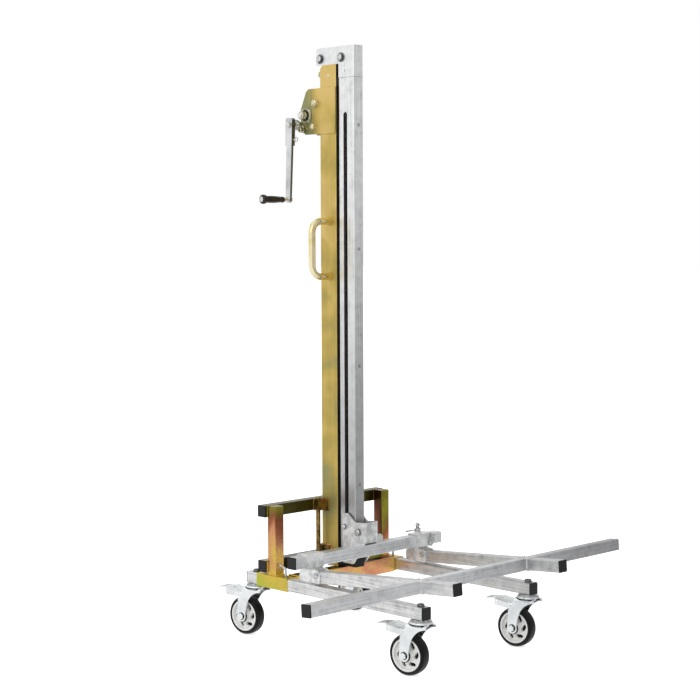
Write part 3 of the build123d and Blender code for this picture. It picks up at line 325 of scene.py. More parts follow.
def zinc_on_tube(name, along, tones, inside=None, left_shade_factor=1.0):
    """Gives the eye a soft grey shine with fine lines along the tube and cloudy mottle across it."""
    material, tree, surface, place = begin(name)
    # draw lines 2.5 mm apart, coarser than the real ones so that they show, and 182 mm long
    stretch = [1000 / 2.5] * 3
    stretch["XYZ".index(along)] = 1000 / 182
    lines = add(tree, "ShaderNodeMapping", None, {"Vector": place, "Scale": stretch})
    drawn = add(tree, "ShaderNodeTexNoise", None,
                {"Vector": lines.outputs["Vector"], "Scale": 1.0, "Detail": 3.0})
    # 25 mm mottle
    mottle = add(tree, "ShaderNodeTexNoise", None,
                 {"Vector": place, "Scale": 1000 / 25, "Detail": 5.0, "Roughness": 0.65})
    both = add(tree, "ShaderNodeMix", {"data_type": "FLOAT"},
               {"Factor": 0.5, "A": drawn.outputs["Fac"], "B": mottle.outputs["Fac"]})
    tone = add(tree, "ShaderNodeValToRGB", None, {"Fac": both.outputs["Result"]})
    colour = ramp(tone, *zip((0.32, 0.44, 0.56, 0.72), tones))
    apart = add(tree, "ShaderNodeSeparateXYZ", None, {"Vector": place})
    if left_shade_factor < 1.0:
        # painted shade: the zinc is darker towards the operator's left
        left_shade = add(tree, "ShaderNodeMapRange", None,
                    {"Value": apart.outputs["X"], "From Min": -0.1, "From Max": 0.45,
                     "To Min": 1.0, "To Max": left_shade_factor})
        left_shaded = add(tree, "ShaderNodeVectorMath", {"operation": "SCALE"},
                   {0: colour, "Scale": left_shade.outputs["Result"]})
        colour = left_shaded.outputs["Vector"]
    if inside:
        # the mast is darker towards the bottom, and its foot is a painted shadow, nearly black
        darker_down = add(tree, "ShaderNodeMapRange", {"interpolation_type": "SMOOTHSTEP"},
                     {"Value": apart.outputs["Z"], "From Min": 0.25, "From Max": 1.2,
                      "To Min": 0.58, "To Max": 1.0})
        foot = add(tree, "ShaderNodeMapRange", None,
                   {"Value": apart.outputs["Z"], "From Min": 0.2, "From Max": 0.235,
                    "To Min": 0.08, "To Max": 1.0})
        darkening = add(tree, "ShaderNodeMath", {"operation": "MULTIPLY"},
                   {0: darker_down.outputs["Result"], 1: foot.outputs["Result"]})
        darkened = add(tree, "ShaderNodeVectorMath", {"operation": "SCALE"},
                   {0: colour, "Scale": darkening.outputs[0]})
        colour = darkened.outputs["Vector"]
    tree.links.new(colour, surface.inputs["Base Color"])
    gloss = add(tree, "ShaderNodeMapRange", None,
                {"Value": both.outputs["Result"], "To Min": 0.48, "To Max": 0.3})
    tree.links.new(gloss.outputs["Result"], surface.inputs["Roughness"])
    relief = add(tree, "ShaderNodeBump", None,
                 {"Height": both.outputs["Result"], "Strength": 0.35, "Distance": 0.0006})
    tree.links.new(relief.outputs["Normal"], surface.inputs["Normal"])
    surface.inputs["Metallic"].default_value = 0.95
    if inside:
        channel_shade(tree, surface, place, *inside)
    return material


tube_tones = ("#A2A3A4", "#CFD0D0", "#E6E6E5", "#F3F3F1")
zinc_along_y = zinc_on_tube("bright zinc on tube, drawn along Y", "Y", tube_tones, None, 0.66)
dress(zinc_along_y, "legs")

# END CAPS
# Push-in caps that close the cut ends of the tubes. They are moulded in black polypropylene
# with a satin skin, and stay in by their fit.


def moulded(name, dark, light, rough, pore, shine=0.5):
    """A moulded skin: two tones, its roughness, the size of its pores in millimetres and its shine."""
    material, tree, surface, place = begin(name)
    skin = add(tree, "ShaderNodeTexNoise", None, {"Vector": place, "Scale": 1000.0 / pore, "Detail": 2.0})
    tone = add(tree, "ShaderNodeValToRGB", None, {"Fac": skin.outputs["Fac"]})
    tree.links.new(ramp(tone, (0.35, dark), (0.7, light)), surface.inputs["Base Color"])
    gloss = add(tree, "ShaderNodeMapRange", None,
                {"Value": skin.outputs["Fac"], "To Min": rough - 0.06, "To Max": rough + 0.08})
    tree.links.new(gloss.outputs["Result"], surface.inputs["Roughness"])
    surface.inputs["Specular IOR Level"].default_value = shine
    relief = add(tree, "ShaderNodeBump", None,
                 {"Height": skin.outputs["Fac"], "Strength": 0.2, "Distance": 0.0003})
    tree.links.new(relief.outputs["Normal"], surface.inputs["Normal"])
    return material


# gives the eye a flat, even black with a faint satin sheen
cap_black = moulded("black polypropylene, satin", "#050505", "#0E0E0F", 0.4, 1.5, 0.35)
dress(cap_black, "base_caps", "bar_caps", "fork_caps")

# POST AND CARRY HANDLE
# Rolled channel in yellow-chromated zinc: straw gold with soft clouds and faint lines down the
# post. Its hollow and the lips that the mast slides on are painted black as shade.


def chromate_on_post():
    """Gives the eye a calm straw gold with soft clouds, and faint lines down the post."""
    material, tree, surface, place = begin("yellow chromate zinc, straw")
    # rolling lines 5 mm apart and 250 mm long
    lines = add(tree, "ShaderNodeMapping", None, {"Vector": place, "Scale": (1000 / 5, 1000 / 5, 1000 / 250)})
    streak = add(tree, "ShaderNodeTexNoise", None,
                 {"Vector": lines.outputs["Vector"], "Scale": 1.0, "Detail": 2.0})
    # 91 mm clouds of film thickness
    cloud = add(tree, "ShaderNodeTexNoise", None,
                {"Vector": place, "Scale": 1000 / 91, "Detail": 2.0, "Distortion": 0.4})
    both = add(tree, "ShaderNodeMix", {"data_type": "FLOAT"},
               {"Factor": 0.75, "A": streak.outputs["Fac"], "B": cloud.outputs["Fac"]})
    # the film is palest at the top of the post; the plates behind it take a painted shade of olive
    apart = add(tree, "ShaderNodeSeparateXYZ", None, {"Vector": place})
    high = add(tree, "ShaderNodeMapRange", None,
               {"Value": apart.outputs["Z"], "From Min": 0.75, "From Max": 1.5,
                "To Min": -0.04, "To Max": 0.08})
    rear = add(tree, "ShaderNodeMapRange", None,
               {"Value": apart.outputs["Y"], "From Min": 0.229, "From Max": 0.258, "To Max": -0.36})
    drift_and_shade = add(tree, "ShaderNodeMath", {"operation": "ADD"},
                {0: high.outputs["Result"], 1: rear.outputs["Result"]})
    total = add(tree, "ShaderNodeMath", {"operation": "ADD"},
                {0: both.outputs["Result"], 1: drift_and_shade.outputs[0]})
    tone = add(tree, "ShaderNodeValToRGB", None, {"Fac": total.outputs[0]})
    colour = ramp(tone, (0.24, "#94966A"), (0.42, "#BCA65A"), (0.54, "#CFB566"), (0.66, "#DDC178"))
    tree.links.new(colour, surface.inputs["Base Color"])
    gloss = add(tree, "ShaderNodeMapRange", None,
                {"Value": both.outputs["Result"], "To Min": 0.56, "To Max": 0.42})
    tree.links.new(gloss.outputs["Result"], surface.inputs["Roughness"])
    relief = add(tree, "ShaderNodeBump", None,
                 {"Height": streak.outputs["Fac"], "Strength": 0.08, "Distance": 0.0004})
    tree.links.new(relief.outputs["Normal"], surface.inputs["Normal"])
    surface.inputs["Metallic"].default_value = 0.85
    return material, tree, surface, place


chromate_post, tree, surface, place = chromate_on_post()
dress(chromate_post, "winch_plates")
chromate_channel, tree, surface, place = chromate_on_post()
chromate_channel.name = "yellow chromate zinc, straw, greased inside"
# painted shade in the post's hollow: half its width inside, from its front wall to its back wall, and its
# front face
channel_shade(tree, surface, place, 0.0177, 0.1727, 0.2283, 0.17054)
dress(chromate_channel, "post")
# gives the eye a dull brown-black, without a highlight
guide_nylon = moulded("black nylon, matt", "#0E0D0C", "#201D1A", 0.6, 2.0)
dress(guide_nylon, "post_guide", "mast_foot", "carriage_guides")

handle_x, handle_y, handle_ends, handle_weld = -20.6, 196.64, (932.0, 1075.0), 9.6
circle = [2 * math.pi * i / 20 for i in range(21)]
rings = [[(handle_x, handle_y + handle_weld * math.cos(a), z + handle_weld * math.sin(a)) for a in circle]
         for z in handle_ends]
weld("handle_welds", "base", chromate_post, rings, 0.0024, 0.0036)
plate_x, plate_front, plate_back, plate_edges = 21, 176, 226, (1301.6, 1420.4)
edges = [[(plate_x * side, plate_front, z), (plate_x * side, plate_back, z)]
         for side in (-1, 1) for z in plate_edges]
weld("plate_welds", "base", chromate_post, edges, 0.0026, 0.0034)

# FASTENERS
# Zinc-plated hex bolts, nuts and pins, cold-headed in steel. A head has a chamfered, slightly
# raised face. Those on the post are yellow-chromated with it.


def plated(name, dark, light, rough, grit, metal=1.0):
    """A plated metal: two tones, its roughness, its spots in millimetres and its metallic share."""
    material, tree, surface, place = begin(name)
    spot = add(tree, "ShaderNodeTexNoise", None, {"Vector": place, "Scale": 1000.0 / grit, "Detail": 3.0})
    tone = add(tree, "ShaderNodeValToRGB", None, {"Fac": spot.outputs["Fac"]})
    tree.links.new(ramp(tone, (0.32, dark), (0.62, light)), surface.inputs["Base Color"])
    gloss = add(tree, "ShaderNodeMapRange", None,
                {"Value": spot.outputs["Fac"], "To Min": rough + 0.1, "To Max": rough - 0.05})
    tree.links.new(gloss.outputs["Result"], surface.inputs["Roughness"])
    relief = add(tree, "ShaderNodeBump", None,
                 {"Height": spot.outputs["Fac"], "Strength": 0.12, "Distance": 0.0004})
    tree.links.new(relief.outputs["Normal"], surface.inputs["Normal"])
    surface.inputs["Metallic"].default_value = metal
    return material


# gives the eye bright heads with grey spots
bolt_zinc = plated("zinc plate on bolts", "#9C9D9E", "#E2E3E3", 0.24, 4.0)
dress(bolt_zinc, "leg_locks", "pawl")
# painted shade: washers and heads are dark, so a dark rim shows round each bright raised face
washer_shade = plated("zinc plate on washers, dull", "#55575A", "#9A9C9E", 0.36, 4.0)
dress(washer_shade, "head_bolts", "carriage_bolts")
# gives the eye pale straw heads on the gold plate
bolt_chromate = plated("yellow chromate on bolts", "#A89A68", "#EFE6C6", 0.24, 5.0)
dress(bolt_chromate, "post_bolts", "rope_anchor")
# gives the eye brown hinges against the gold post
bracket_chromate = plated("yellow chromate on brackets, brown", "#5C4A2E", "#A88C54", 0.3, 14.0)
dress(bracket_chromate, "post_brackets", "upright_pins")
# gives the eye a polished pale gold with long highlights
rod_chromate = plated("yellow chromate on bent rod", "#E2D092", "#F6EAC2", 0.16, 30.0)
dress(rod_chromate, "carry_handle")


def head_tree():
    """A chamfered disc on every point, as wide as the point's size, facing along X."""
    tree, given, out = nodes_tree("bolt_face", Outward="NodeSocketFloat", Finish="NodeSocketMaterial")
    face = add(tree, "GeometryNodeMeshCone", None,
               {"Vertices": 24, "Radius Top": 0.74, "Radius Bottom": 0.96, "Depth": 0.16})
    wide = add(tree, "GeometryNodeInputNamedAttribute", {"data_type": "FLOAT"}, {"Name": "size"})
    turn = add(tree, "ShaderNodeCombineXYZ", None, {"Y": given["Outward"]})
    placed = add(tree, "GeometryNodeInstanceOnPoints", None,
                 {"Points": given["Geometry"], "Instance": face.outputs["Mesh"], "Rotation": turn.outputs[0],
                  "Scale": wide.outputs["Attribute"]})
    real = add(tree, "GeometryNodeRealizeInstances", None, {"Geometry": placed.outputs[0]})
    coat = add(tree, "GeometryNodeSetMaterial", None,
               {"Geometry": real.outputs[0], "Material": given["Finish"]})
    tree.links.new(coat.outputs[0], out.inputs[0])
    return tree


bolt_face = head_tree()


def bolt_faces(name, body, finish, places):
    """Raised faces on bolt heads, from (x, y, z, across flats) in millimetres; below 0, x faces the right."""
    for label, side in (("right", -1), ("left", 1)):
        chosen = [p for p in places if p[0] * side > 0]
        if chosen:
            piece = grow(f"{name}_{label}", [Vector(p[:3]) / 1000 for p in chosen], [], bolt_face,
                         {"Outward": side * math.pi / 2, "Finish": finish}, [p[3] / 2000 for p in chosen])
            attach(piece, body)


# the plates' two tie bolts, and the pawl's pivot
bolt_faces("post_bolt_faces", "base", bolt_chromate,
           [(-31, 242.74, 1382, 17), (-31, 250.44, 1322, 14), (-42, 285.14, 1314, 12)])

# WINCH
# Turned steel drum, gears and ratchet in a light oil film, with the bright-plated crank outside.
# The crank's arm slides in its sleeve, and the grip is polished phenolic.
# gives the eye a near mirror on the flat faces
crank_bright = plated("bright plate on crank", "#B6B9BB", "#DEE0E1", 0.2, 60.0)
tree = crank_bright.node_tree
surface = tree.nodes["Principled BSDF"]
upright = add(tree, "ShaderNodeVectorMath", {"operation": "DOT_PRODUCT"},
              {0: add(tree, "ShaderNodeTexCoord").outputs["Normal"], 1: (0.0, 1.0, 0.0)})
edge = add(tree, "ShaderNodeMath", {"operation": "ABSOLUTE"}, {0: upright.outputs["Value"]})
# the bar's edges, the faces square to Y, are darker than its broad faces
darker_edges = add(tree, "ShaderNodeMix", {"data_type": "RGBA"},
          {0: edge.outputs[0], 6: surface.inputs["Base Color"].links[0].from_socket, 7: linear("#6C6F72")})
tree.links.new(darker_edges.outputs[2], surface.inputs["Base Color"])
dress(crank_bright, "crank_sleeve", "crank_arm")
# gives the eye a grey-gold ring round the shaft
bearing_chromate = plated("yellow chromate on bearings, thin", "#8F8A6A", "#D8D4BC", 0.24, 8.0)
dress(bearing_chromate, "winch_bearings")
# gives the eye a warm, bright lathe finish
turned_bright = plated("turned steel, bright", "#BDBBB2", "#ECEBE6", 0.22, 5.0)
dress(turned_bright, "winch_drum", "ratchet_wheel", "crank_shaft", "crank_screws")
# gives the eye a brownish film on darker steel
oiled_steel = plated("oiled steel on gears and pulleys", "#6B6554", "#A39A78", 0.35, 6.0)
dress(oiled_steel, "winch_pinion", "post_sheave", "pulley_rear", "pulley_front")
# gives the eye a deep black with one sharp highlight
grip_phenolic = moulded("black phenolic, polished", "#070707", "#141414", 0.16, 6.0)
dress(grip_phenolic, "crank_grip")


def flat_ring_tree():
    """A thin flat ring on every point, standing square to X and then turned about Z."""
    tree, given, out = nodes_tree("flat_ring", Radius="NodeSocketFloat", Width="NodeSocketFloat",
                                  Turn="NodeSocketFloat", Finish="NodeSocketMaterial")
    path = add(tree, "GeometryNodeCurvePrimitiveCircle", None, {"Resolution": 40, "Radius": given["Radius"]})
    strip = add(tree, "GeometryNodeCurvePrimitiveQuadrilateral", None,
                {"Width": given["Width"], "Height": 0.001})
    ring = add(tree, "GeometryNodeCurveToMesh", None,
               {"Curve": path.outputs[0], "Profile Curve": strip.outputs[0]})
    turn = add(tree, "ShaderNodeCombineXYZ", None, {"Y": math.pi / 2, "Z": given["Turn"]})
    placed = add(tree, "GeometryNodeInstanceOnPoints", None,
                 {"Points": given["Geometry"], "Instance": ring.outputs[0], "Rotation": turn.outputs[0]})
    real = add(tree, "GeometryNodeRealizeInstances", None, {"Geometry": placed.outputs[0]})
    coat = add(tree, "GeometryNodeSetMaterial", None,
               {"Geometry": real.outputs[0], "Material": given["Finish"]})
    tree.links.new(coat.outputs[0], out.inputs[0])
    return tree


flat_ring = flat_ring_tree()
# painted shade: a black ring stands for the shadowed gap round the drum's shaft
gap_shade_black = moulded("black nitrile, oily", "#060606", "#141312", 0.4, 2.0, 0.3)
plate_face, drum_y, drum_z = -0.0251, 0.28014, 1.352
shaft_gap_shade = grow("shaft_gap_shade", [(plate_face, drum_y, drum_z)], [], flat_ring,
                  {"Radius": 0.013, "Width": 0.0036, "Turn": 0.0, "Finish": gap_shade_black})
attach(shaft_gap_shade, "base")

# MAST
# A slotted zinc tube that slides up the post, with flat screws down its front. Its head is
# folded sheet, bolted over the two rope pulleys.
mast_tones = ("#C3C4C6", "#E4E5E6", "#F1F2F2", "#F7F7F6")
# painted shade in the mast's hollow: half its width inside, from its front wall to its back wall, and its
# back face
mast_hollow = (0.01425, 0.10990, 0.16170, 0.16394)
dress(zinc_on_tube("bright zinc on mast, greased inside", "Z", mast_tones, mast_hollow), "mast")
dress(zinc_on_tube("bright zinc on head sheet", "Z", mast_tones), "mast_head")
rear_axle, front_axle = (231.54, 1495, 16), (153.94, 1494, 16)
head_right, head_left = -23.2, 24
bolt_faces("head_bolt_faces", "mast", bolt_zinc,
           [(head_right, *rear_axle), (head_right, *front_axle),
            (head_left, *rear_axle), (head_left, *front_axle)])


def screw_tree():
    """A countersunk head on every point, flat on the mast's front, with a dark cross and rim."""
    tree, given, out = nodes_tree("flat_screw", Width="NodeSocketFloat", Finish="NodeSocketMaterial",
                                  Shadow="NodeSocketMaterial")
    turn = (math.pi / 2, 0.0, 0.0)
    made = []
    for kind, values, lift, finish in (
            ("GeometryNodeMeshCylinder", {"Vertices": 28, "Radius": 0.56, "Depth": 0.02}, 0.010, "Shadow"),
            ("GeometryNodeMeshCone",
             {"Vertices": 28, "Radius Top": 0.45, "Radius Bottom": 0.5, "Depth": 0.016}, 0.014, "Finish"),
            ("GeometryNodeMeshCube", {"Size": (0.5, 0.13, 0.01)}, 0.028, "Shadow"),
            ("GeometryNodeMeshCube", {"Size": (0.13, 0.5, 0.01)}, 0.028, "Shadow")):
        shape = add(tree, kind, None, values)
        raised = add(tree, "GeometryNodeTransform", None,
                     {"Geometry": shape.outputs["Mesh"], "Translation": (0.0, 0.0, lift)})
        placed = add(tree, "GeometryNodeInstanceOnPoints", None,
                     {"Points": given["Geometry"], "Instance": raised.outputs[0], "Rotation": turn,
                      "Scale": given["Width"]})
        real = add(tree, "GeometryNodeRealizeInstances", None, {"Geometry": placed.outputs[0]})
        made.append(add(tree, "GeometryNodeSetMaterial", None,
                        {"Geometry": real.outputs[0], "Material": given[finish]}).outputs[0])
    joined = add(tree, "GeometryNodeJoinGeometry")
    for shape in made:
        tree.links.new(shape, joined.inputs[0])
    tree.links.new(joined.outputs[0], out.inputs[0])
    return tree


# gives the eye the black of a hole or a seam
recess = moulded("shadowed recess, oil-black", "#050505", "#151412", 0.5, 1.0)
mast_front, screw_heights = 0.10754, (1320, 1004, 702, 393)
screws = grow("mast_screws", [(0, mast_front, z / 1000) for z in screw_heights], [], screw_tree(),
              {"Width": 0.0082, "Finish": bolt_zinc, "Shadow": recess})
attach(screws, "mast")
bolt_faces("head_hole", "mast", recess, [(-16.3, 141.3, 1459, 4)])
seam_z, seam_side, seam_front, seam_back = 1442, 16.4, 107.8, 163.7
rim = [(-seam_side, seam_front), (seam_side, seam_front), (seam_side, seam_back), (-seam_side, seam_back),
       (-seam_side, seam_front)]
weld("head_seam", "mast", recess, [[(x, y, seam_z) for x, y in rim]], 0.002, 0.0009)

# CARRIAGE
# Cut plate that straddles the mast, welded to a square bar and galvanised. The collars that hold
# the fork slide on the bar, and hand screws lock them.
# gives the eye a paler, more cloudy grey than the tubes, with little shine
plate_zinc = plated("galvanised plate", "#C6C8C9", "#F4F5F4", 0.46, 18.0, 0.55)
dress(plate_zinc, "carriage_plates", "fork_collars")
# gives the eye small parts broken up by dark spots
hand_zinc = plated("bright zinc on hand screws", "#7E8082", "#DCDDDE", 0.36, 5.0, 0.7)
dress(hand_zinc, "collar_bolts", "clamp_screw")
carriage_tones = ("#C0C2C5", "#DADCDF", "#EAEBED", "#F4F5F5")
dress(zinc_on_tube("bright zinc on carriage bar", "X", carriage_tones), "carriage_bar")
# the plates' outer faces, the gussets' line and the top of the bar, in millimetres
plate_side, gusset_y, bar_top = 24.9, 79, 242.3
seams = []
for side in (-1, 1):
    x = plate_side * side
    seams.append([(x, 70, bar_top), (x, 94, bar_top)])
    seams.append([(27 * side, gusset_y, bar_top), (56 * side, gusset_y, bar_top)])
    seams.append([(x, gusset_y, 244), (x, gusset_y, 261)])
    seams.append([(20.4 * side, 67.4, 248), (20.4 * side, 67.4, 296)])
weld("carriage_welds", "carriage", plate_zinc, seams)
# each collar's two cheeks, and the boss of the clamp screw
cheek_in, cheek_out, cheek_top = 173.2, 212.8, 208.4
boss_x, boss_y, boss_z, boss_weld = 190, 81.54, 245.6, 9.4
seams = []
for side in (-1, 1):
    for x in (cheek_in * side, cheek_out * side):
        seams.append([(x, 69, cheek_top), (x, 94, cheek_top)])
seams.append([(boss_x + boss_weld * math.cos(a), boss_y + boss_weld * math.sin(a), boss_z) for a in circle])
weld("collar_welds", "collars", plate_zinc, seams)
upper_axle, lower_axle, cross_bolt = (139.69, 282.6, 13), (139.69, 205, 13), (88.14, 274, 17)
bolt_faces("carriage_bolt_faces", "carriage", bolt_zinc,
           [(-29.7, *upper_axle), (-29.7, *lower_axle), (-31, *cross_bolt),
            (30.5, *upper_axle), (30.5, *lower_axle), (32, *cross_bolt)])

# FORK
# Square zinc tube: two arms pinned in the collars, and a long bar welded across them with a
# short stub beyond it on each side. The frame rises a little towards its front.
dress(zinc_along_y, "fork_arms")
bar_tones = ("#B4B6B9", "#D2D4D7", "#E6E7E9", "#F2F3F3")
dress(zinc_on_tube("bright zinc on tube, drawn along X", "X", bar_tones, None, 0.62), "fork_bar")
# the fork's pins, its lean, its arms' places and both faces of the bar
pins = Matrix.Translation((0, 49.14, 194))
lean = pins @ Matrix.Rotation(math.radians(-4.5), 4, "X")
arm_x, bar_faces = 193, (-324.0, -354.4)
section = [(-15, -19), (-15, 7), (-13, 9), (13, 9), (15, 7), (15, -19), (13, -21), (-13, -21), (-15, -19)]
seams = [[lean @ Vector((arm_x * side + x, y, z)) for x, z in section] for side in (-1, 1) for y in bar_faces]
weld("fork_welds", "fork", plate_zinc, seams)

# CASTERS
# Pressed yokes in bright zinc, white nylon wheel centres, solid rubber tyres. A rubber seal closes
# the swivel race, and the brake pedal's tread has pressed ribs.
# gives the eye a pale, almost white shine that the room runs over
yoke_zinc = plated("bright zinc on pressed yoke", "#DDE1E4", "#F2F5F6", 0.24, 40.0)
# gives the eye a clean white disc with a soft gloss
nylon_white = moulded("white nylon", "#F4F4F2", "#FAFAF8", 0.35, 3.0)
# gives the eye a deep black tread with a weak sheen
tyre_rubber = moulded("solid black rubber", "#040404", "#0D0D0E", 0.36, 1.2, 0.22)


def seal_tree():
    """A round ring lying flat on every point."""
    tree, given, out = nodes_tree("race_seal", Radius="NodeSocketFloat", Thick="NodeSocketFloat",
                                  Finish="NodeSocketMaterial")
    round_path = add(tree, "GeometryNodeCurvePrimitiveCircle", None,
                     {"Resolution": 40, "Radius": given["Radius"]})
    section = add(tree, "GeometryNodeCurvePrimitiveCircle", None, {"Resolution": 8, "Radius": given["Thick"]})
    ring = add(tree, "GeometryNodeCurveToMesh", None,
               {"Curve": round_path.outputs[0], "Profile Curve": section.outputs[0]})
    placed = add(tree, "GeometryNodeInstanceOnPoints", None,
                 {"Points": given["Geometry"], "Instance": ring.outputs[0]})
    real = add(tree, "GeometryNodeRealizeInstances", None, {"Geometry": placed.outputs[0]})
    smooth = add(tree, "GeometryNodeSetShadeSmooth", None, {"Geometry": real.outputs[0]})
    coat = add(tree, "GeometryNodeSetMaterial", None,
               {"Geometry": smooth.outputs[0], "Material": given["Finish"]})
    tree.links.new(coat.outputs[0], out.inputs[0])
    return tree


def rib_tree():
    """A half-sunk round rib across the pedal at every point, turned with the caster."""
    tree, given, out = nodes_tree("pedal_rib", Length="NodeSocketFloat", Thick="NodeSocketFloat",
                                  Turn="NodeSocketFloat", Finish="NodeSocketMaterial")
    rod = add(tree, "GeometryNodeMeshCylinder", None,
              {"Vertices": 12, "Radius": given["Thick"], "Depth": given["Length"]})
    turn = add(tree, "ShaderNodeCombineXYZ", None, {"Y": math.pi / 2, "Z": given["Turn"]})
    placed = add(tree, "GeometryNodeInstanceOnPoints", None,
                 {"Points": given["Geometry"], "Instance": rod.outputs["Mesh"], "Rotation": turn.outputs[0]})
    real = add(tree, "GeometryNodeRealizeInstances", None, {"Geometry": placed.outputs[0]})
    coat = add(tree, "GeometryNodeSetMaterial", None,
               {"Geometry": real.outputs[0], "Material": given["Finish"]})
    tree.links.new(coat.outputs[0], out.inputs[0])
    return tree


# gives the eye grey cups under the legs
stem_zinc = plated("zinc plate on stems", "#A4A5A8", "#DADBDC", 0.3, 6.0)
tree = stem_zinc.node_tree
surface = tree.nodes["Principled BSDF"]
place = add(tree, "ShaderNodeTexCoord").outputs["Object"]
apart = add(tree, "ShaderNodeSeparateXYZ", None, {"Vector": place})
# the stems' parts above 165 mm, the nuts on top of the legs, are darker
darker_top = add(tree, "ShaderNodeMapRange", None,
             {"Value": apart.outputs["Z"], "From Min": 0.16, "From Max": 0.165, "To Min": 1.0, "To Max": 0.3})
darkened_top = add(tree, "ShaderNodeVectorMath", {"operation": "SCALE"},
            {0: surface.inputs["Base Color"].links[0].from_socket, "Scale": darker_top.outputs["Result"]})
tree.links.new(darkened_top.outputs["Vector"], surface.inputs["Base Color"])
dress(stem_zinc, "caster_stems")
race_seal = seal_tree()
pedal_rib = rib_tree()
# the stems' places, the turn of every caster about its stem, and the wheel's and pedal's places
# behind and below it, in millimetres
stem_x, stem_y = {"right": -196.5, "left": 196.5}, {"front": -293.86, "rear": 292.14}
trail = math.radians(9)
wheel_back, wheel_up = 33, 50
pedal_from, pedal_top, pedal_fall, rib_sunk = 86, 121, 0.1, 0.3
for end, hand in (("front", "right"), ("front", "left"), ("rear", "right"), ("rear", "left")):
    caster = f"caster_{end}_{hand}"
    x, y = stem_x[hand], stem_y[end]
    dress(yoke_zinc, f"{caster}_yoke", f"{caster}_pedal")
    dress(nylon_white, f"{caster}_wheel")
    dress(tyre_rubber, f"{caster}_tyre")
    seal = grow(f"{caster}_seal", [(x / 1000, y / 1000, 0.1274)], [], race_seal,
                {"Radius": 0.0279, "Thick": 0.0017, "Finish": tyre_rubber})
    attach(seal, caster)
    stand = Matrix.Translation((x, y, 0)) @ Matrix.Rotation(trail, 4, "Z")
    treads = [(0, back, pedal_top - (back - pedal_from) * pedal_fall - rib_sunk) for back in (105, 109, 113)]
    ribs = grow(f"{caster}_ribs", [(stand @ Vector(tread)) / 1000 for tread in treads], [], pedal_rib,
                {"Length": 0.026, "Thick": 0.0011, "Turn": trail, "Finish": yoke_zinc})
    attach(ribs, f"{caster}_pedal")
    # painted shade: a black disc inside each wheel makes its windows read dark
    window_shade = grow(f"{caster}_pockets", [(stand @ Vector((0, wheel_back, wheel_up))) / 1000], [], flat_ring,
                   {"Radius": 0.025, "Width": 0.022, "Turn": trail, "Finish": tyre_rubber})
    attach(window_shade, f"{caster}_wheel")
    # painted shadow: black rings round the hubs stand for the shadow gap at each yoke cheek and round each
    # axle nut
    for part, aside, radius, width in (("cheek_shadow_rings", 20.2, 0.0144, 0.0036),
                                       ("axle_shadow_rings", 24.5, 0.0089, 0.0018)):
        hubs = [(stand @ Vector((across, wheel_back, wheel_up))) / 1000 for across in (-aside, aside)]
        rings = grow(f"{caster}_{part}", hubs, [], flat_ring,
                     {"Radius": radius, "Width": width, "Turn": trail, "Finish": tyre_rubber})
        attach(rings, caster)

# STUDIO
# A plain white room with soft light from the left and a darker side at the right. The camera
# sees the floor and the room as white, and the floor's reflection in metal is graded to grey.
reach = 40
mesh = bpy.data.meshes.new("studio_floor")
mesh.from_pydata([(-reach, -reach, 0), (reach, -reach, 0), (reach, reach, 0), (-reach, reach, 0)],
                 [], [(0, 1, 2, 3)])
floor = bpy.data.objects.new("studio_floor", mesh)
scene.collection.objects.link(floor)
paper, tree, surface, place = begin("white paper floor")
surface.inputs["Base Color"].default_value = linear("#F4F4F4")
surface.inputs["Roughness"].default_value = 0.9
surface.inputs["Specular IOR Level"].default_value = 0.0
rays = add(tree, "ShaderNodeLightPath")
glow = add(tree, "ShaderNodeEmission", None, {"Color": (1, 1, 1, 1), "Strength": 0.72})
lit = add(tree, "ShaderNodeAddShader", None, {0: surface.outputs[0], 1: glow.outputs[0]})
side_of_room = add(tree, "ShaderNodeVectorMath", {"operation": "DOT_PRODUCT"},
                   {0: place, 1: (0.7, -0.7, 0.0)})
away = add(tree, "ShaderNodeMapRange", None, {"Value": side_of_room.outputs["Value"], "From Max": 20.0})
fade = add(tree, "ShaderNodeValToRGB", None, {"Fac": away.outputs["Result"]})
greys = ramp(fade, (0.01, "#FBFBFB"), (0.12, "#B8B8B8"), (0.3, "#868686"), (0.5, "#AEAEAE"),
             (0.95, "#F8F8F8"))
mirrored = add(tree, "ShaderNodeEmission", None, {"Color": greys})
glossy = add(tree, "ShaderNodeMixShader", None,
             {0: rays.outputs["Is Glossy Ray"], 1: surface.outputs[0], 2: mirrored.outputs[0]})
seen = add(tree, "ShaderNodeMixShader", None,
           {0: rays.outputs["Is Camera Ray"], 1: glossy.outputs[0], 2: lit.outputs[0]})
tree.links.new(seen.outputs[0], tree.nodes["Material Output"].inputs["Surface"])
mesh.materials.append(paper)

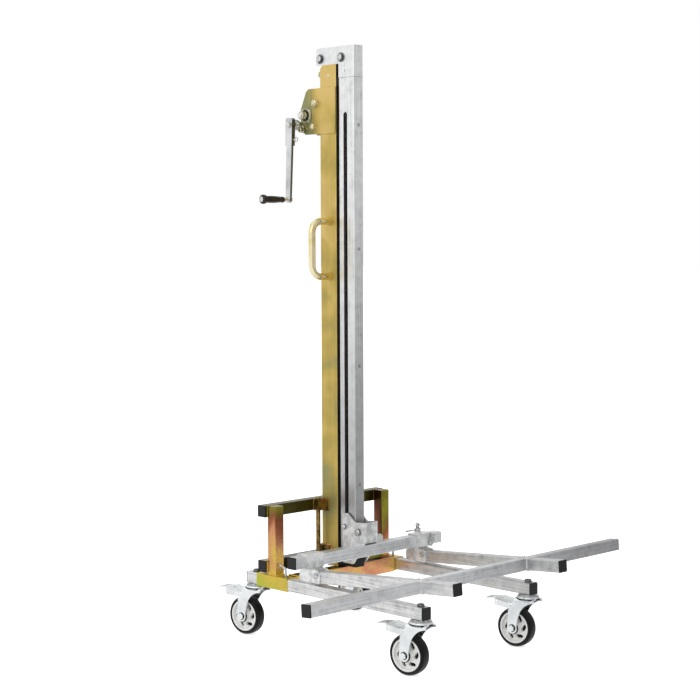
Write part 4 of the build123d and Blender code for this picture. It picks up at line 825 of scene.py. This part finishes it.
world = bpy.data.worlds.new("studio_room")
scene.world = world
world.use_nodes = True
tree = world.node_tree
room = tree.nodes["Background"]
facing = add(tree, "ShaderNodeVectorMath", {"operation": "DOT_PRODUCT"},
             {0: add(tree, "ShaderNodeTexCoord").outputs["Generated"], 1: (-0.69, 0.69, 0.2)})
shade = add(tree, "ShaderNodeMapRange", {"interpolation_type": "SMOOTHSTEP"},
            {"Value": facing.outputs["Value"], "From Min": -0.8, "From Max": 0.5,
             "To Min": 0.48, "To Max": 1.0})
rays = add(tree, "ShaderNodeLightPath")
seen = add(tree, "ShaderNodeMix", {"data_type": "FLOAT"},
           {"Factor": rays.outputs["Is Camera Ray"], "A": shade.outputs["Result"], "B": 1.0})
tree.links.new(seen.outputs["Result"], room.inputs["Strength"])
room.inputs["Color"].default_value = (1, 1, 1, 1)

middle = Vector((0, 0.1, 0.7))
for name, spot, size, power in (("key_left", (-3.4, -0.6, 2.8), 3.4, 20.0),
                                ("fill_right", (2.4, -3.2, 2.2), 3.0, 6.0)):
    lamp = bpy.data.lights.new(name, "AREA")
    lamp.size = size
    lamp.energy = power
    holder = bpy.data.objects.new(name, lamp)
    scene.collection.objects.link(holder)
    holder.location = spot
    holder.rotation_euler = (middle - Vector(spot)).to_track_quat("-Z", "Y").to_euler()

# The camera stands at the operator's right front, a little above the middle of the mast.
focus_pixels, frame_pixels, sensor = 1656.5, 700, 36.0
lens = bpy.data.cameras.new("camera")
lens.sensor_width = sensor
lens.sensor_fit = "HORIZONTAL"
lens.lens = focus_pixels / frame_pixels * sensor
camera = bpy.data.objects.new("camera", lens)
scene.collection.objects.link(camera)
scene.camera = camera
turn, drop, roll = math.radians(-44.32), math.radians(3.86), math.radians(-0.23)
back = Vector((math.sin(turn) * math.cos(drop), -math.cos(turn) * math.cos(drop), math.sin(drop)))
right = Vector((math.cos(turn), math.sin(turn), 0))
up = back.cross(right)
across = math.cos(roll) * right + math.sin(roll) * up
above = -math.sin(roll) * right + math.cos(roll) * up
stand = Matrix.Translation((-2.9960, -2.92566, 1.0311))
camera.matrix_world = stand @ Matrix((across, above, back)).transposed().to_4x4()
scene.view_settings.view_transform = "Standard"
